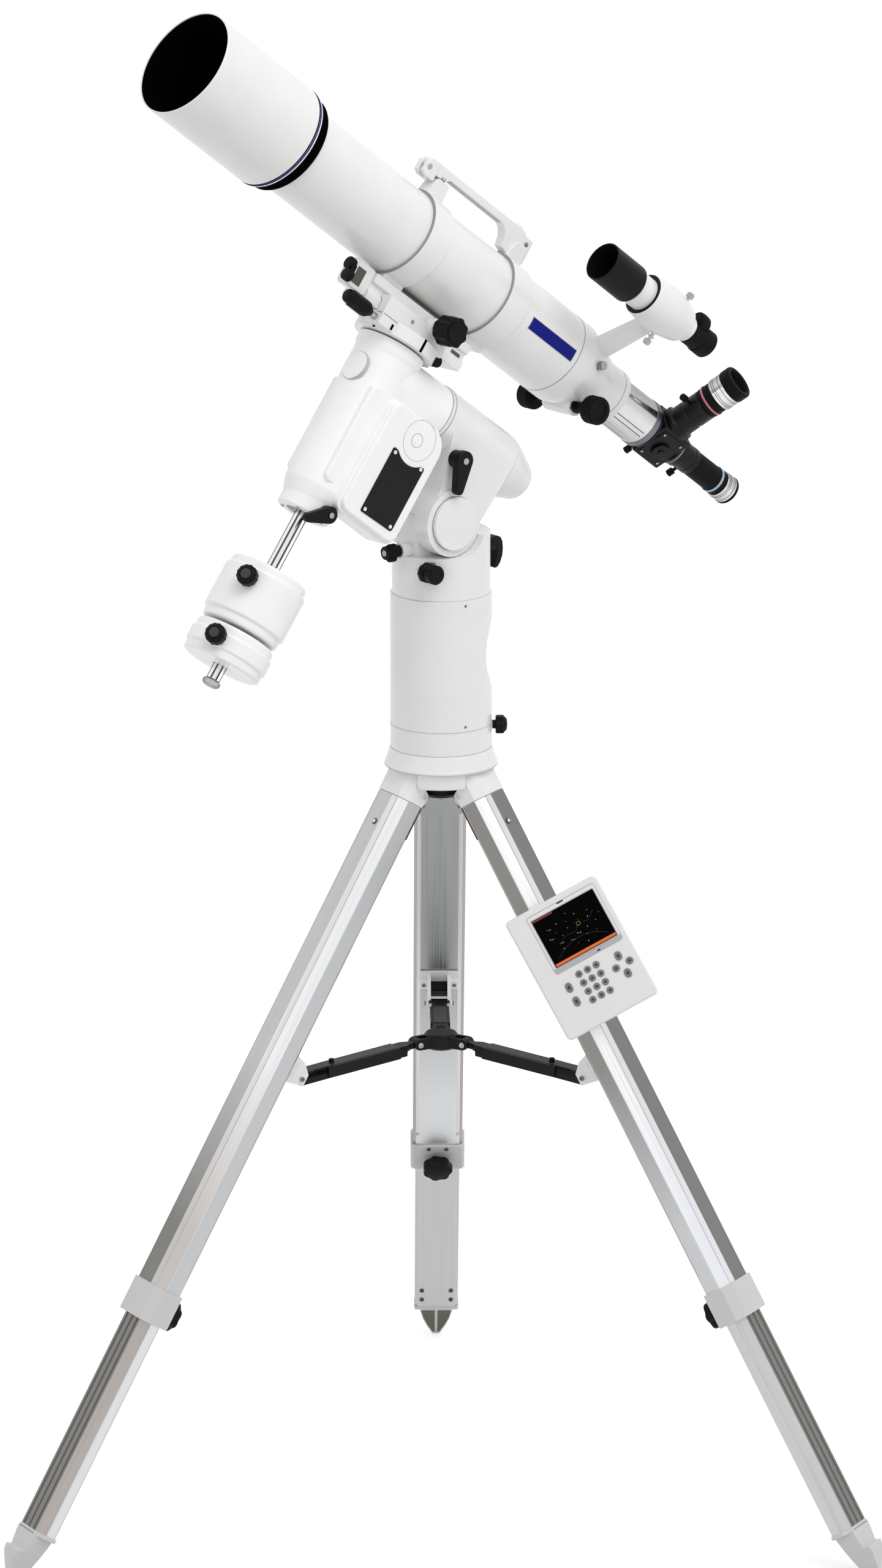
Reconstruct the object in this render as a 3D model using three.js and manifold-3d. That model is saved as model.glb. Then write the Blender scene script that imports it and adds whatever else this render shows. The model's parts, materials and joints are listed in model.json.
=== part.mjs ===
// A refracting telescope on an equatorial mount, a short pillar and a folding tripod.
// Millimetres, +Z up. The rear leg points along +Y. The origin is under the middle of the whole object.

import * as THREE from 'three';
import { mergeVertices } from 'three/addons/utils/BufferGeometryUtils.js';
import Module from 'manifold-3d';

const wasm = await Module();
wasm.setup();

const rad = THREE.MathUtils.degToRad;

// ---------------------------------------------------------------- driving dimensions

const GAP = 0.3;

const FOOT_CIRCLE_RADIUS = 689.9;
const HINGE_RADIUS = 44;
const HINGE_HEIGHT = 1036;
const HINGE_TO_LEG_CENTRE = 20.3;
const LEG_AZIMUTHS = { left: -150, right: -30, rear: 90 };

const LEG = {
  width: 73, depth: 38, wall: 3.4, innerChamfer: 4, outerChamfer: 12,
  castingWall: 1.2, castingEnd: 12, plugEnd: 62,
  tongueWidth: 40, tongueRadius: 12, trunnionRadius: 5, trunnionLength: 67,
  collarStart: 748, collarEnd: 818, collarWall: 3.5, knobAt: 800,
  slideClearance: 0.5, lowerWall: 3, lowerStart: 520,
};

const LEG_KNOB = { lobes: 6, radius: 17, length: 20, stemRadius: 4, bossWidth: 6 };

const FOOT = { length: 74.6845, overlap: 1, padHalf: 11, taperDrop: 16, stepDrop: 34, stepReach: 9 };

const HEAD = {
  bottom: 1012, coreRadius: 28, lipRadius: 62, lipBottom: 1055, lipTop: 1078,
  flangeRadius: 79, top: 1103, lugRadius: 12, lugThickness: 11, lugClearRadius: 13, boltRadius: 6,
};

const SPREADER = {
  pivotOutward: -30.5417, pivotAlong: -423.7596, hubPivotRadius: 40, hubRise: 17,
  hubRadius: 24, hubThickness: 22, lugRadius: 8, lugInner: 6.3, lugOuter: 11,
  armWidth: 22, armThickness: 9, tipRadius: 6, cheekThickness: 5, cheekReach: 8, pinRadius: 3,
};

const PILLAR = {
  radius: 71, wall: 5, bottom: 1103.3, seam: 1133, top: 1323.4, plate: 10,
  windowHalfWidth: 46, windowHalfHeight: 56, windowHeight: 1239, windowAzimuth: 12,
  studRadius: 6, studLength: 58,
};
const PILLAR_KNOB = { height: 1132.5, radius: 13, length: 22, stemRadius: 4 };

const MOUNT_AZIMUTH = 38.212;
const LATITUDE = 36.474;
const LATITUDE_AXIS_X = -19;
const LATITUDE_AXIS_Z = 1431;

const AZIMUTH_BASE = {
  radius: 68.5, cheekClearRadius: 48, postHalfWidth: 21.7, postRadius: 39,
  hornTop: 1410, lowSideTop: 1383, lowSideEdge: 20, pinRadius: 12,
};
const AZIMUTH_KNOB = { x: -61, z: 1366, radius: 12, length: 26, stemRadius: 3.5, flatY: -38 };
const ALTITUDE_KNOB = {
  z: 1391, bossRadius: 11, bossReach: 6, radius: 14, length: 14, stemRadius: 4.5, stemInto: 11, neck: 9,
};
const ALTITUDE_LEVER = {
  z: 1384, stemRadius: 5, stemInto: 9, reach: 12, thickness: 13, halfWidth: 9, above: 9, below: 36,
};

const HOUSING = {
  cheekRadius: 47, cheekHalfWidth: 52, coverRadius: 37.5, coverHalfWidth: 58, neckHalfWidth: 46,
  barrelRadius: 47, boreRadius: 24, webClearRadius: 41, slotOpening: 18,
};
const LATITUDE_TO_RA = 114.6;
const RA_TO_DEC = 201.5;
const RA_SEAM = -112;
const RA_REAR = -252;
const POLAR_COVER = { length: 60, endRadius: 27, wall: 4, spigotRadius: 40, spigotLength: 12 };
const RA_SHAFT = { radius: 21, bore: 8, flangeRadius: 40, flangeThickness: 8 };
const RA_LEVER = { d: 75.7, u: 47.9, length: 42, turn: -42.5 };

const DEC_TO_TUBE = 178.85;
const DEC = {
  barrelRadius: 46, raRadius: 45, top: -134, neckRadius: 49, seam: -134, barrelEnd: -360,
  flangeRadius: 38.5, end: -398, boreRadius: 26, blockHalfWidth: 45,
  blockTop: -200, blockBottom: -350, blockRear: -118, blockFront: 20,
  motorInner: -20, motorOuter: -62, motorTop: -205, motorBottom: -372, motorRear: -118, motorFront: -4,
  capU: -72, capD: -232, capRadius: 25, capDepth: 4,
};
const DEC_LEVER = { d: -388, u: -4, length: 40, turn: 56 };
const DEC_SHAFT = { radius: 23, bore: 10.4, end: -340 };

const BAR = {
  radius: 10, start: -300, end: -658, stopRadius: 13, stopLength: 9, threadRadius: 5, threadLength: 8,
};
const WEIGHT_LARGE = { start: -490, end: -583, radius: 60, step: 4, knob: -520 };
const WEIGHT_SMALL = { start: -588, end: -636, radius: 60, step: 3, knob: -611 };
const WEIGHT_KNOB = { radius: 14, length: 18, stemRadius: 4, azimuth: 31 };

const SADDLE = {
  bottom: -132.5, discTop: -116, discRadius: 60, floor: -112, top: -88, rear: -52, front: 74, halfWidth: 42,
  jawInner: 26.5, lipInner: 21.5, lipBottom: -99, bossRadius: 13,
};
const SADDLE_KNOB = { u: -21, d: -86, radius: 22, length: 27, stemRadius: 6, stemLength: 10 };
const LOCK_KNOB = { y: -31, d: -123, radius: 11, length: 52, stemRadius: 4.5, stemLength: 10 };

const TUBE_RADIUS = 62.5;
const TUBE_TO_DOVETAIL = 8.5;
const DOVETAIL = {
  halfWidth: 25, neckHalfWidth: 20, top: -TUBE_RADIUS - TUBE_TO_DOVETAIL, rear: -104, front: 140,
};
const TUBE_WALL = 2;
const TUBE_FRONT = 316;
const TUBE_REAR = -250;
const RING = { width: 40, thickness: 3.6, footHalfWidth: 20, lugHalfWidth: 13, lugTop: 92 };
const RING_FRONT_CENTRE = 66;
const RING_REAR_CENTRE = -107;
const HANDLE = { front: 90, rear: -100, bottom: 96, top: 111, halfWidth: 9, footLength: 26 };

const DEW_SHIELD = { rear: 338, front: 534, radius: 77, wall: 2.5 };
const CELL = { radius: 71, seatLength: 30, frontReach: 24, lensRadius: 57.5, lensThickness: 20, lip: 4 };

const DRAW_TUBE = {
  radius: 35.5, wall: 3, front: -268, rear: -462, rackHalfWidth: 5, rackDepth: 1.6, rackFromRear: 30,
};
const FOCUSER = {
  coneEnd: -383, spigot: 18, rearRadius: DRAW_TUBE.radius + 5.5, wall: 5,
  pinionU: -315, pinionD: -DRAW_TUBE.radius - 11.5,
  pinionHousingHalfWidth: 30, pinionHousingRadius: 15, pinionRadius: 7,
};
const FOCUS_KNOB = { radius: 20, length: 22, shaftRadius: 3.5, inner: 58 };
const BOX = {
  front: -462, rear: -528, halfWidth: 32, halfDepth: 23, wall: 3, turn: 42, boreRadius: 18,
  neckRadius: DRAW_TUBE.radius - 2.5, neckLength: 10,
};
const EYEPIECE_REAR = {
  radius: 20.5, barrelRadius: 15.8, length: 89, barrelLength: 26, holderRadius: 20, holderLength: 46,
};
const EYEPIECE_TOP = { radius: 24, length: 60, holderRadius: 22, holderLength: 54, u: -500.5 };

const FINDER = {
  angle: 49.3, offset: 169, tubeRadius: 19, hoodRadius: 28.7, hoodFront: -152, hoodRear: -218,
  tubeRear: -388, wall: 2, ringFront: -245, ringRear: -339, ringThickness: 4, ringClearance: 3.5,
  armU: -318, armHalfWidth: 9, armHalfLength: 16, screwRadius: 3, screwReach: 8,
};

const CONTROLLER = {
  width: 134, height: 177, depth: 28, turn: 28.6, lean: 14.4, corner: 16,
  x: 194, y: -181, z: 846, screenWidth: 104, screenHeight: 62, holderGap: 0.4,
};
const HOLDER = {
  halfWidth: 37, thickness: 5.6, height: 120, armBottom: 28, armTop: 74,
  armSide: 8, armReach: 40,
};

// ---------------------------------------------------------------- shape helpers

const TURN_TO = {
  x: (geometry) => geometry.rotateZ(-Math.PI / 2),
  y: (geometry) => geometry,
  z: (geometry) => geometry.rotateX(Math.PI / 2),
};

function segmentsFor(radius) {
  if (radius < 12) return 12;
  return radius < 40 ? 20 : 30;
}

function solidOf(geometry) {
  const bare = geometry.clone();
  bare.deleteAttribute('normal');
  bare.deleteAttribute('uv');
  const merged = mergeVertices(bare, 1e-4);
  const corners = merged.index.array;
  const triVerts = [];
  for (let i = 0; i < corners.length; i += 3) {
    const [a, b, c] = corners.slice(i, i + 3);
    if (a !== b && b !== c && c !== a) triVerts.push(a, b, c);
  }
  const vertProperties = Float32Array.from(merged.attributes.position.array);
  const mesh = { numProp: 3, vertProperties, triVerts: Uint32Array.from(triVerts) };
  return new wasm.Manifold(new wasm.Mesh(mesh));
}

function geometryOf(solid) {
  const { vertProperties, triVerts } = solid.getMesh();
  const geometry = new THREE.BufferGeometry();
  geometry.setAttribute('position', new THREE.BufferAttribute(vertProperties, 3));
  geometry.setIndex(new THREE.BufferAttribute(triVerts, 1));
  geometry.computeVertexNormals();
  return geometry;
}

function join(...geometries) {
  return geometryOf(geometries.map(solidOf).reduce((whole, next) => whole.add(next)));
}

function cut(body, ...tools) {
  return geometryOf(tools.map(solidOf).reduce((whole, tool) => whole.subtract(tool), solidOf(body)));
}

function common(first, second) {
  return geometryOf(solidOf(first).intersect(solidOf(second)));
}

// A cylinder or cone along one axis; centre gives the other two coordinates.
function rod(axis, radius, from, to, centre = {}, endRadius = radius) {
  const segments = segmentsFor(Math.max(radius, endRadius));
  const geometry = TURN_TO[axis](new THREE.CylinderGeometry(endRadius, radius, to - from, segments));
  const place = { x: 0, y: 0, z: 0, ...centre, [axis]: (from + to) / 2 };
  return geometry.translate(place.x, place.y, place.z);
}

// A turned body; points are [radius, along], up the outside and, when hollow, down the inside.
function turned(axis, points) {
  const hollow = points.every(([radius]) => radius > 0);
  const closed = hollow ? [...points, points[0]] : points;
  const profile = closed.map(([radius, along]) => new THREE.Vector2(radius, along));
  const widest = Math.max(...points.map(([radius]) => radius));
  return TURN_TO[axis](new THREE.LatheGeometry(profile, segmentsFor(widest)));
}

function pipe(axis, radius, wall, from, to) {
  return turned(axis, [[radius, from], [radius, to], [radius - wall, to], [radius - wall, from]]);
}

function box(x0, x1, y0, y1, z0, z1) {
  const geometry = new THREE.BoxGeometry(x1 - x0, y1 - y0, z1 - z0);
  return geometry.translate((x0 + x1) / 2, (y0 + y1) / 2, (z0 + z1) / 2);
}

// An outline extruded along an axis; it is drawn in (y, z) for x, (x, z) for y and (x, y) for z.
function prism(axis, outline, from, to, curveSegments = 8) {
  const drawn = Array.isArray(outline);
  const shape = drawn ? new THREE.Shape(outline.map(([a, b]) => new THREE.Vector2(a, b))) : outline;
  const settings = { depth: to - from, bevelEnabled: false, curveSegments };
  const geometry = new THREE.ExtrudeGeometry(shape, settings);
  if (axis === 'y') return geometry.translate(0, 0, -to).rotateX(Math.PI / 2);
  geometry.translate(0, 0, from);
  if (axis === 'z') return geometry;
  const [x, y, z] = [new THREE.Vector3(1, 0, 0), new THREE.Vector3(0, 1, 0), new THREE.Vector3(0, 0, 1)];
  return geometry.applyMatrix4(new THREE.Matrix4().makeBasis(y, z, x));
}

function roundedRectangle(halfWidth, halfHeight, corner) {
  const shape = new THREE.Shape();
  shape.absarc(halfWidth - corner, halfHeight - corner, corner, 0, Math.PI / 2);
  shape.absarc(corner - halfWidth, halfHeight - corner, corner, Math.PI / 2, Math.PI);
  shape.absarc(corner - halfWidth, corner - halfHeight, corner, Math.PI, 1.5 * Math.PI);
  shape.absarc(halfWidth - corner, corner - halfHeight, corner, 1.5 * Math.PI, 2 * Math.PI);
  return shape;
}

function lobedOutline(radius, lobes, depth, steps = 4) {
  const points = [];
  for (let i = 0; i < lobes * steps; i += 1) {
    const turn = (2 * Math.PI * i) / (lobes * steps);
    const reach = radius - depth * (0.5 - 0.5 * Math.cos(lobes * turn));
    points.push([reach * Math.cos(turn), reach * Math.sin(turn)]);
  }
  return points;
}

const LOOKS = {
  whitePaint: { color: 0xe6e6e3, roughness: 0.42, metalness: 0.1 },
  blackPaint: { color: 0x1c1d1f, roughness: 0.5, metalness: 0.1 },
  blackRubber: { color: 0x18181a, roughness: 0.75, metalness: 0 },
  blackPlastic: { color: 0x232426, roughness: 0.45, metalness: 0 },
  greyMetal: { color: 0x8d9094, roughness: 0.35, metalness: 0.9 },
  brightMetal: { color: 0xc9cbcd, roughness: 0.22, metalness: 1 },
  silverTube: { color: 0xb9bcc0, roughness: 0.38, metalness: 0.8 },
  glass: { color: 0x2d3b52, roughness: 0.05, metalness: 0 },
};

function piece(parent, name, look, geometry) {
  const mesh = new THREE.Mesh(geometry, new THREE.MeshStandardMaterial({ ...LOOKS[look] }));
  mesh.name = name;
  parent.add(mesh);
  return mesh;
}

function joint(parent, name, x = 0, y = 0, z = 0) {
  const group = new THREE.Group();
  group.name = name;
  group.position.set(x, y, z);
  parent.add(group);
  return group;
}

// ---------------------------------------------------------------- tripod

const legAngle = Math.atan2(FOOT_CIRCLE_RADIUS - HINGE_RADIUS, HINGE_HEIGHT)
  - Math.asin(HINGE_TO_LEG_CENTRE / Math.hypot(FOOT_CIRCLE_RADIUS - HINGE_RADIUS, HINGE_HEIGHT));

// Moves geometry from the upright frame of a leg (x sideways, y outward, z up) into the leg's own frame,
// which has its origin on the hinge pin and its -z axis down the leg.
function intoLeg(geometry) {
  return geometry.translate(0, -HINGE_RADIUS, -HINGE_HEIGHT).rotateX(-legAngle);
}

// A point of that upright frame in the leg's own frame, as { y, z }.
function pointInLeg(radius, height) {
  const [outward, up] = [radius - HINGE_RADIUS, height - HINGE_HEIGHT];
  return {
    y: outward * Math.cos(legAngle) + up * Math.sin(legAngle),
    z: -outward * Math.sin(legAngle) + up * Math.cos(legAngle),
  };
}

const footStart = -pointInLeg(FOOT_CIRCLE_RADIUS, 0).z - FOOT.length;
const innerFace = HINGE_TO_LEG_CENTRE - LEG.depth / 2;

// The leg's section: a rectangle with small corners inside and large ones outside.
function legSection(grow) {
  const [halfWidth, halfDepth] = [LEG.width / 2 + grow, LEG.depth / 2 + grow];
  const [low, high] = [HINGE_TO_LEG_CENTRE - halfDepth, HINGE_TO_LEG_CENTRE + halfDepth];
  const [inner, outer] = [LEG.innerChamfer, LEG.outerChamfer];
  return [
    [-halfWidth + inner, low], [halfWidth - inner, low],
    [halfWidth, low + inner], [halfWidth, high - outer],
    [halfWidth - outer, high], [-halfWidth + outer, high],
    [-halfWidth, high - outer], [-halfWidth, low + inner],
  ];
}

function castingGeometry() {
  const half = LEG.tongueWidth / 2;
  const side = LEG.width / 2 + LEG.castingWall + 10;
  const lipClear = HEAD.lipRadius + 2 * GAP;
  const block = prism('z', legSection(LEG.castingWall), -LEG.castingEnd, HINGE_TO_LEG_CENTRE + LEG.depth);
  const plug = prism('z', legSection(-LEG.wall - GAP), -LEG.plugEnd, 1 - LEG.castingEnd);
  const trimmed = cut(
    join(block, plug),
    intoLeg(box(-side, side, -200, 400, HEAD.lipTop - GAP, HEAD.top + 60)),
    intoLeg(box(-side, side, -200, HINGE_RADIUS + 2, HINGE_HEIGHT, HEAD.top + 60)),
    intoLeg(rod('z', lipClear, HEAD.lipBottom - 2 * GAP, HEAD.top)),
    rod('x', HEAD.lugClearRadius, half, side),
    rod('x', HEAD.lugClearRadius, -side, -half),
  );
  return join(
    trimmed,
    rod('x', LEG.tongueRadius, -half, half),
    rod('x', LEG.trunnionRadius, -LEG.trunnionLength / 2, LEG.trunnionLength / 2),
  );
}

const collarFace = innerFace - LEG.collarWall;

function upperLegGeometry() {
  const inner = -LEG.wall;
  const tube = prism('z', legSection(0), -LEG.collarEnd, -LEG.castingEnd - GAP);
  const collar = prism('z', legSection(LEG.collarWall), -LEG.collarEnd, -LEG.collarStart);
  const boss = rod('y', LEG_KNOB.stemRadius + LEG_KNOB.bossWidth, collarFace - 3, collarFace + 2,
    { z: -LEG.knobAt });
  return cut(
    join(tube, collar, boss),
    prism('z', legSection(inner), -LEG.collarEnd - 1, 0),
    rod('y', LEG_KNOB.stemRadius + GAP, collarFace - 10, HINGE_TO_LEG_CENTRE, { z: -LEG.knobAt }),
  );
}

function legKnobGeometry() {
  const seat = collarFace - 3 - GAP;
  const stemEnd = innerFace + LEG.wall + LEG.slideClearance - GAP;
  const head = prism('y', lobedOutline(LEG_KNOB.radius, LEG_KNOB.lobes, 3), seat - LEG_KNOB.length, seat);
  return join(head, rod('y', LEG_KNOB.stemRadius, seat - 1, stemEnd)).translate(0, 0, -LEG.knobAt);
}

function lowerLegGeometry() {
  const outer = -LEG.wall - LEG.slideClearance;
  const tube = cut(
    prism('z', legSection(outer), -footStart - 12, -LEG.lowerStart),
    prism('z', legSection(outer - LEG.lowerWall), -footStart, 0),
  );
  return join(tube, footGeometry(outer + FOOT.overlap));
}

// A cast shoe round the end of the lower tube, tapering to a small flat pad, with a step for a boot.
function footGeometry(grow) {
  const top = -footStart;
  const halfWidth = LEG.width / 2 + grow;
  const [inner, outer] = [innerFace - grow, innerFace + LEG.depth + grow];
  const heel = pointInLeg(FOOT_CIRCLE_RADIUS - FOOT.padHalf, 0);
  const toe = pointInLeg(FOOT_CIRCLE_RADIUS + FOOT.padHalf, 0);
  const step = top - FOOT.stepDrop;
  const side = prism('x', [
    [inner, top], [inner, top - FOOT.taperDrop], [heel.y, heel.z], [toe.y, toe.z],
    [outer + FOOT.stepReach, step - 10], [outer + FOOT.stepReach, step], [outer, step + 2], [outer, top],
  ], -halfWidth, halfWidth);
  const front = prism('y', [
    [-halfWidth, top], [-halfWidth, top - FOOT.taperDrop], [-FOOT.padHalf, heel.z - 20],
    [FOOT.padHalf, heel.z - 20], [halfWidth, top - FOOT.taperDrop], [halfWidth, top],
  ], inner - 60, outer + 60);
  return common(side, front);
}

// The pin of an arm's outer end, in the leg's own frame and in the tripod's upright frame.
const bracketPivot = { y: SPREADER.pivotOutward, z: SPREADER.pivotAlong };
const pivotRadius = HINGE_RADIUS
  + bracketPivot.y * Math.cos(legAngle) - bracketPivot.z * Math.sin(legAngle);
const pivotHeight = HINGE_HEIGHT
  + bracketPivot.y * Math.sin(legAngle) + bracketPivot.z * Math.cos(legAngle);

function spreaderBracketGeometry() {
  const { cheekThickness, cheekReach, tipRadius, pinRadius, armWidth } = SPREADER;
  const inner = armWidth / 2 + 1;
  const outer = inner + cheekThickness;
  const seat = innerFace - GAP;
  const { y, z } = bracketPivot;
  const cheekOutline = [
    [seat, z + 30], [seat, z - 14], [y - cheekReach, z - 9], [y - cheekReach, z + 9], [y + 6, z + 22],
  ];
  const plate = box(-outer, outer, seat - 3, seat, z + tipRadius + 6, z + 30);
  const cheeks = [-1, 1].map((side) => {
    const [from, to] = side < 0 ? [-outer, -inner] : [inner, outer];
    return prism('x', cheekOutline, from, to);
  });
  const pins = [-1, 1].map((side) => {
    const [from, to] = side < 0 ? [-outer - 2, -inner - 1] : [inner + 1, outer + 2];
    return rod('x', pinRadius + 1.5, from, to, { y, z });
  });
  return join(plate, ...cheeks, ...pins);
}

const armRun = pivotRadius - SPREADER.hubPivotRadius;
const armRise = -SPREADER.hubRise;
const armLength = Math.hypot(armRun, armRise);
const armSlope = Math.atan2(armRise, armRun);

// The arm in its own frame: the hub pivot at the origin, the arm along +y, its top face up.
function spreaderArmGeometry() {
  const { armWidth, armThickness, tipRadius, lugInner, pinRadius, lugRadius } = SPREADER;
  const tongueHalf = lugInner - GAP;
  const start = lugRadius + 5;
  const plan = [
    [-armWidth / 2, start + 8], [-tongueHalf, start], [tongueHalf, start], [armWidth / 2, start + 8],
    [armWidth / 2, armLength], [-armWidth / 2, armLength],
  ];
  const bar = prism('z', plan, -armThickness / 2, armThickness / 2);
  const tongue = box(-tongueHalf, tongueHalf, 0, start + 2, -armThickness / 2, armThickness / 2);
  return join(
    bar,
    tongue,
    rod('x', lugRadius, -tongueHalf, tongueHalf),
    rod('x', pinRadius, -tongueHalf - 4, tongueHalf + 4),
    rod('x', tipRadius, -armWidth / 2, armWidth / 2, { y: armLength }),
  );
}

function spreaderHubGeometry() {
  const { hubRadius, hubThickness, lugRadius, lugInner, lugOuter, hubPivotRadius, pinRadius } = SPREADER;
  const core = turned('z', [
    [0, -hubThickness / 2], [hubRadius - 3, -hubThickness / 2], [hubRadius, -hubThickness / 2 + 3],
    [hubRadius, hubThickness / 2 - 3], [hubRadius - 3, hubThickness / 2], [0, hubThickness / 2],
  ]);
  const lugs = Object.values(LEG_AZIMUTHS).flatMap((azimuth) => [-1, 1].map((side) => {
    const [from, to] = side < 0 ? [-lugOuter, -lugInner] : [lugInner, lugOuter];
    const web = box(from, to, hubRadius - 6, hubPivotRadius, -lugRadius, lugRadius);
    const ear = cut(
      join(web, rod('x', lugRadius, from, to, { y: hubPivotRadius })),
      rod('x', pinRadius + GAP, -lugOuter - 1, lugOuter + 1, { y: hubPivotRadius }),
    );
    return ear.rotateZ(rad(azimuth - 90));
  }));
  return join(core, ...lugs);
}

function tripodHeadGeometry() {
  const lugInner = LEG.tongueWidth / 2 + GAP;
  const lugOuter = lugInner + HEAD.lugThickness;
  const body = turned('z', [
    [0, HEAD.bottom], [HEAD.coreRadius, HEAD.bottom], [HEAD.coreRadius, HEAD.lipBottom],
    [HEAD.lipRadius, HEAD.lipBottom], [HEAD.lipRadius, HEAD.lipTop], [HEAD.flangeRadius, HEAD.lipTop],
    [PILLAR.radius, HEAD.top], [0, HEAD.top],
  ]);
  const lugs = Object.values(LEG_AZIMUTHS).flatMap((azimuth) => [-1, 1].map((side) => {
    const [from, to] = side < 0 ? [-lugOuter, -lugInner] : [lugInner, lugOuter];
    const [low, high] = [HINGE_HEIGHT - HEAD.lugRadius, HINGE_HEIGHT + HEAD.lugRadius];
    const web = box(from, to, 8, HINGE_RADIUS, low, high);
    const pin = { y: HINGE_RADIUS, z: HINGE_HEIGHT };
    const ear = cut(
      join(web, rod('x', HEAD.lugRadius, from, to, pin)),
      rod('x', LEG.trunnionRadius + GAP, -lugOuter - 1, lugOuter + 1, pin),
    );
    return ear.rotateZ(rad(azimuth - 90));
  }));
  const bore = rod('z', HEAD.boltRadius + GAP, HEAD.bottom - 1, HEAD.top + 1);
  return cut(join(body, ...lugs), bore);
}

function buildTripod(parent) {
  piece(parent, 'tripod_head', 'whitePaint', tripodHeadGeometry());
  for (const [side, azimuth] of Object.entries(LEG_AZIMUTHS)) {
    const turn = joint(parent, `leg_turn_${side}`);
    turn.rotation.z = rad(azimuth - 90);
    const leg = joint(turn, `leg_axis_${side}`, 0, HINGE_RADIUS, HINGE_HEIGHT);
    leg.rotation.x = legAngle;
    piece(leg, `leg_casting_${side}`, 'whitePaint', castingGeometry());
    piece(leg, `upper_leg_${side}`, 'silverTube', upperLegGeometry());
    piece(leg, `spreader_bracket_${side}`, 'whitePaint', spreaderBracketGeometry());
    piece(leg, `lower_leg_${side}`, 'silverTube', lowerLegGeometry());
    piece(leg, `leg_clamp_knob_${side}`, 'blackPlastic', legKnobGeometry());
    joint(leg, `leg_knob_axis_${side}`, 0, collarFace, -LEG.knobAt);
  }
  const hub = joint(parent, 'hub_axis', 0, 0, pivotHeight + SPREADER.hubRise);
  piece(hub, 'spreader_hub', 'blackPaint', spreaderHubGeometry());
  for (const [side, azimuth] of Object.entries(LEG_AZIMUTHS)) {
    const turn = joint(hub, `arm_turn_${side}`);
    turn.rotation.z = rad(azimuth - 90);
    const arm = joint(turn, `arm_axis_${side}`, 0, SPREADER.hubPivotRadius, 0);
    arm.rotation.x = armSlope;
    piece(arm, `spreader_arm_${side}`, 'blackPaint', spreaderArmGeometry());
  }
}

// ---------------------------------------------------------------- pillar

function pillarGeometry() {
  const { radius, wall, bottom, top, plate, studRadius, studLength } = PILLAR;
  const { windowHeight, windowHalfWidth, windowHalfHeight, windowAzimuth } = PILLAR;
  const outer = rod('z', radius, bottom, top);
  const hollow = rod('z', radius - wall, bottom + plate, top - plate);
  const windowShape = new THREE.Shape();
  windowShape.absellipse(0, windowHeight, windowHalfWidth, windowHalfHeight, 0, 2 * Math.PI);
  const opening = prism('x', windowShape, 0, radius + 5, 8).rotateZ(rad(windowAzimuth));
  const knobBore = rod('x', PILLAR_KNOB.stemRadius + GAP, radius - wall - 5, radius + 5,
    { z: PILLAR_KNOB.height });
  const stud = rod('z', studRadius, bottom - studLength, bottom + 1);
  return join(cut(outer, hollow, opening, knobBore), stud);
}

function plainKnobGeometry(axis, direction, knob, seat, stemInto) {
  const outline = [
    [0, -stemInto], [knob.stemRadius, -stemInto], [knob.stemRadius, GAP], [knob.radius * 0.8, GAP],
    [knob.radius, 3], [knob.radius, knob.length - 2], [knob.radius - 2, knob.length], [0, knob.length],
  ];
  const geometry = turned(axis, outline);
  if (direction < 0) {
    if (axis === 'x') geometry.rotateZ(Math.PI);
    if (axis === 'y') geometry.rotateX(Math.PI);
    if (axis === 'z') geometry.rotateX(Math.PI);
  }
  return geometry.translate(axis === 'x' ? seat : 0, axis === 'y' ? seat : 0, axis === 'z' ? seat : 0);
}

function buildPillar(parent) {
  piece(parent, 'pillar', 'whitePaint', pillarGeometry());
  const knob = joint(parent, 'pillar_knob_axis', PILLAR.radius, 0, PILLAR_KNOB.height);
  piece(knob, 'pillar_knob', 'blackPlastic', plainKnobGeometry('x', 1, PILLAR_KNOB, 0, PILLAR.wall - 1));
}

// ---------------------------------------------------------------- mount: azimuth base and latitude housing

const altitudeKnobSeat = -AZIMUTH_BASE.radius - LATITUDE_AXIS_X - ALTITUDE_KNOB.bossReach;

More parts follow.
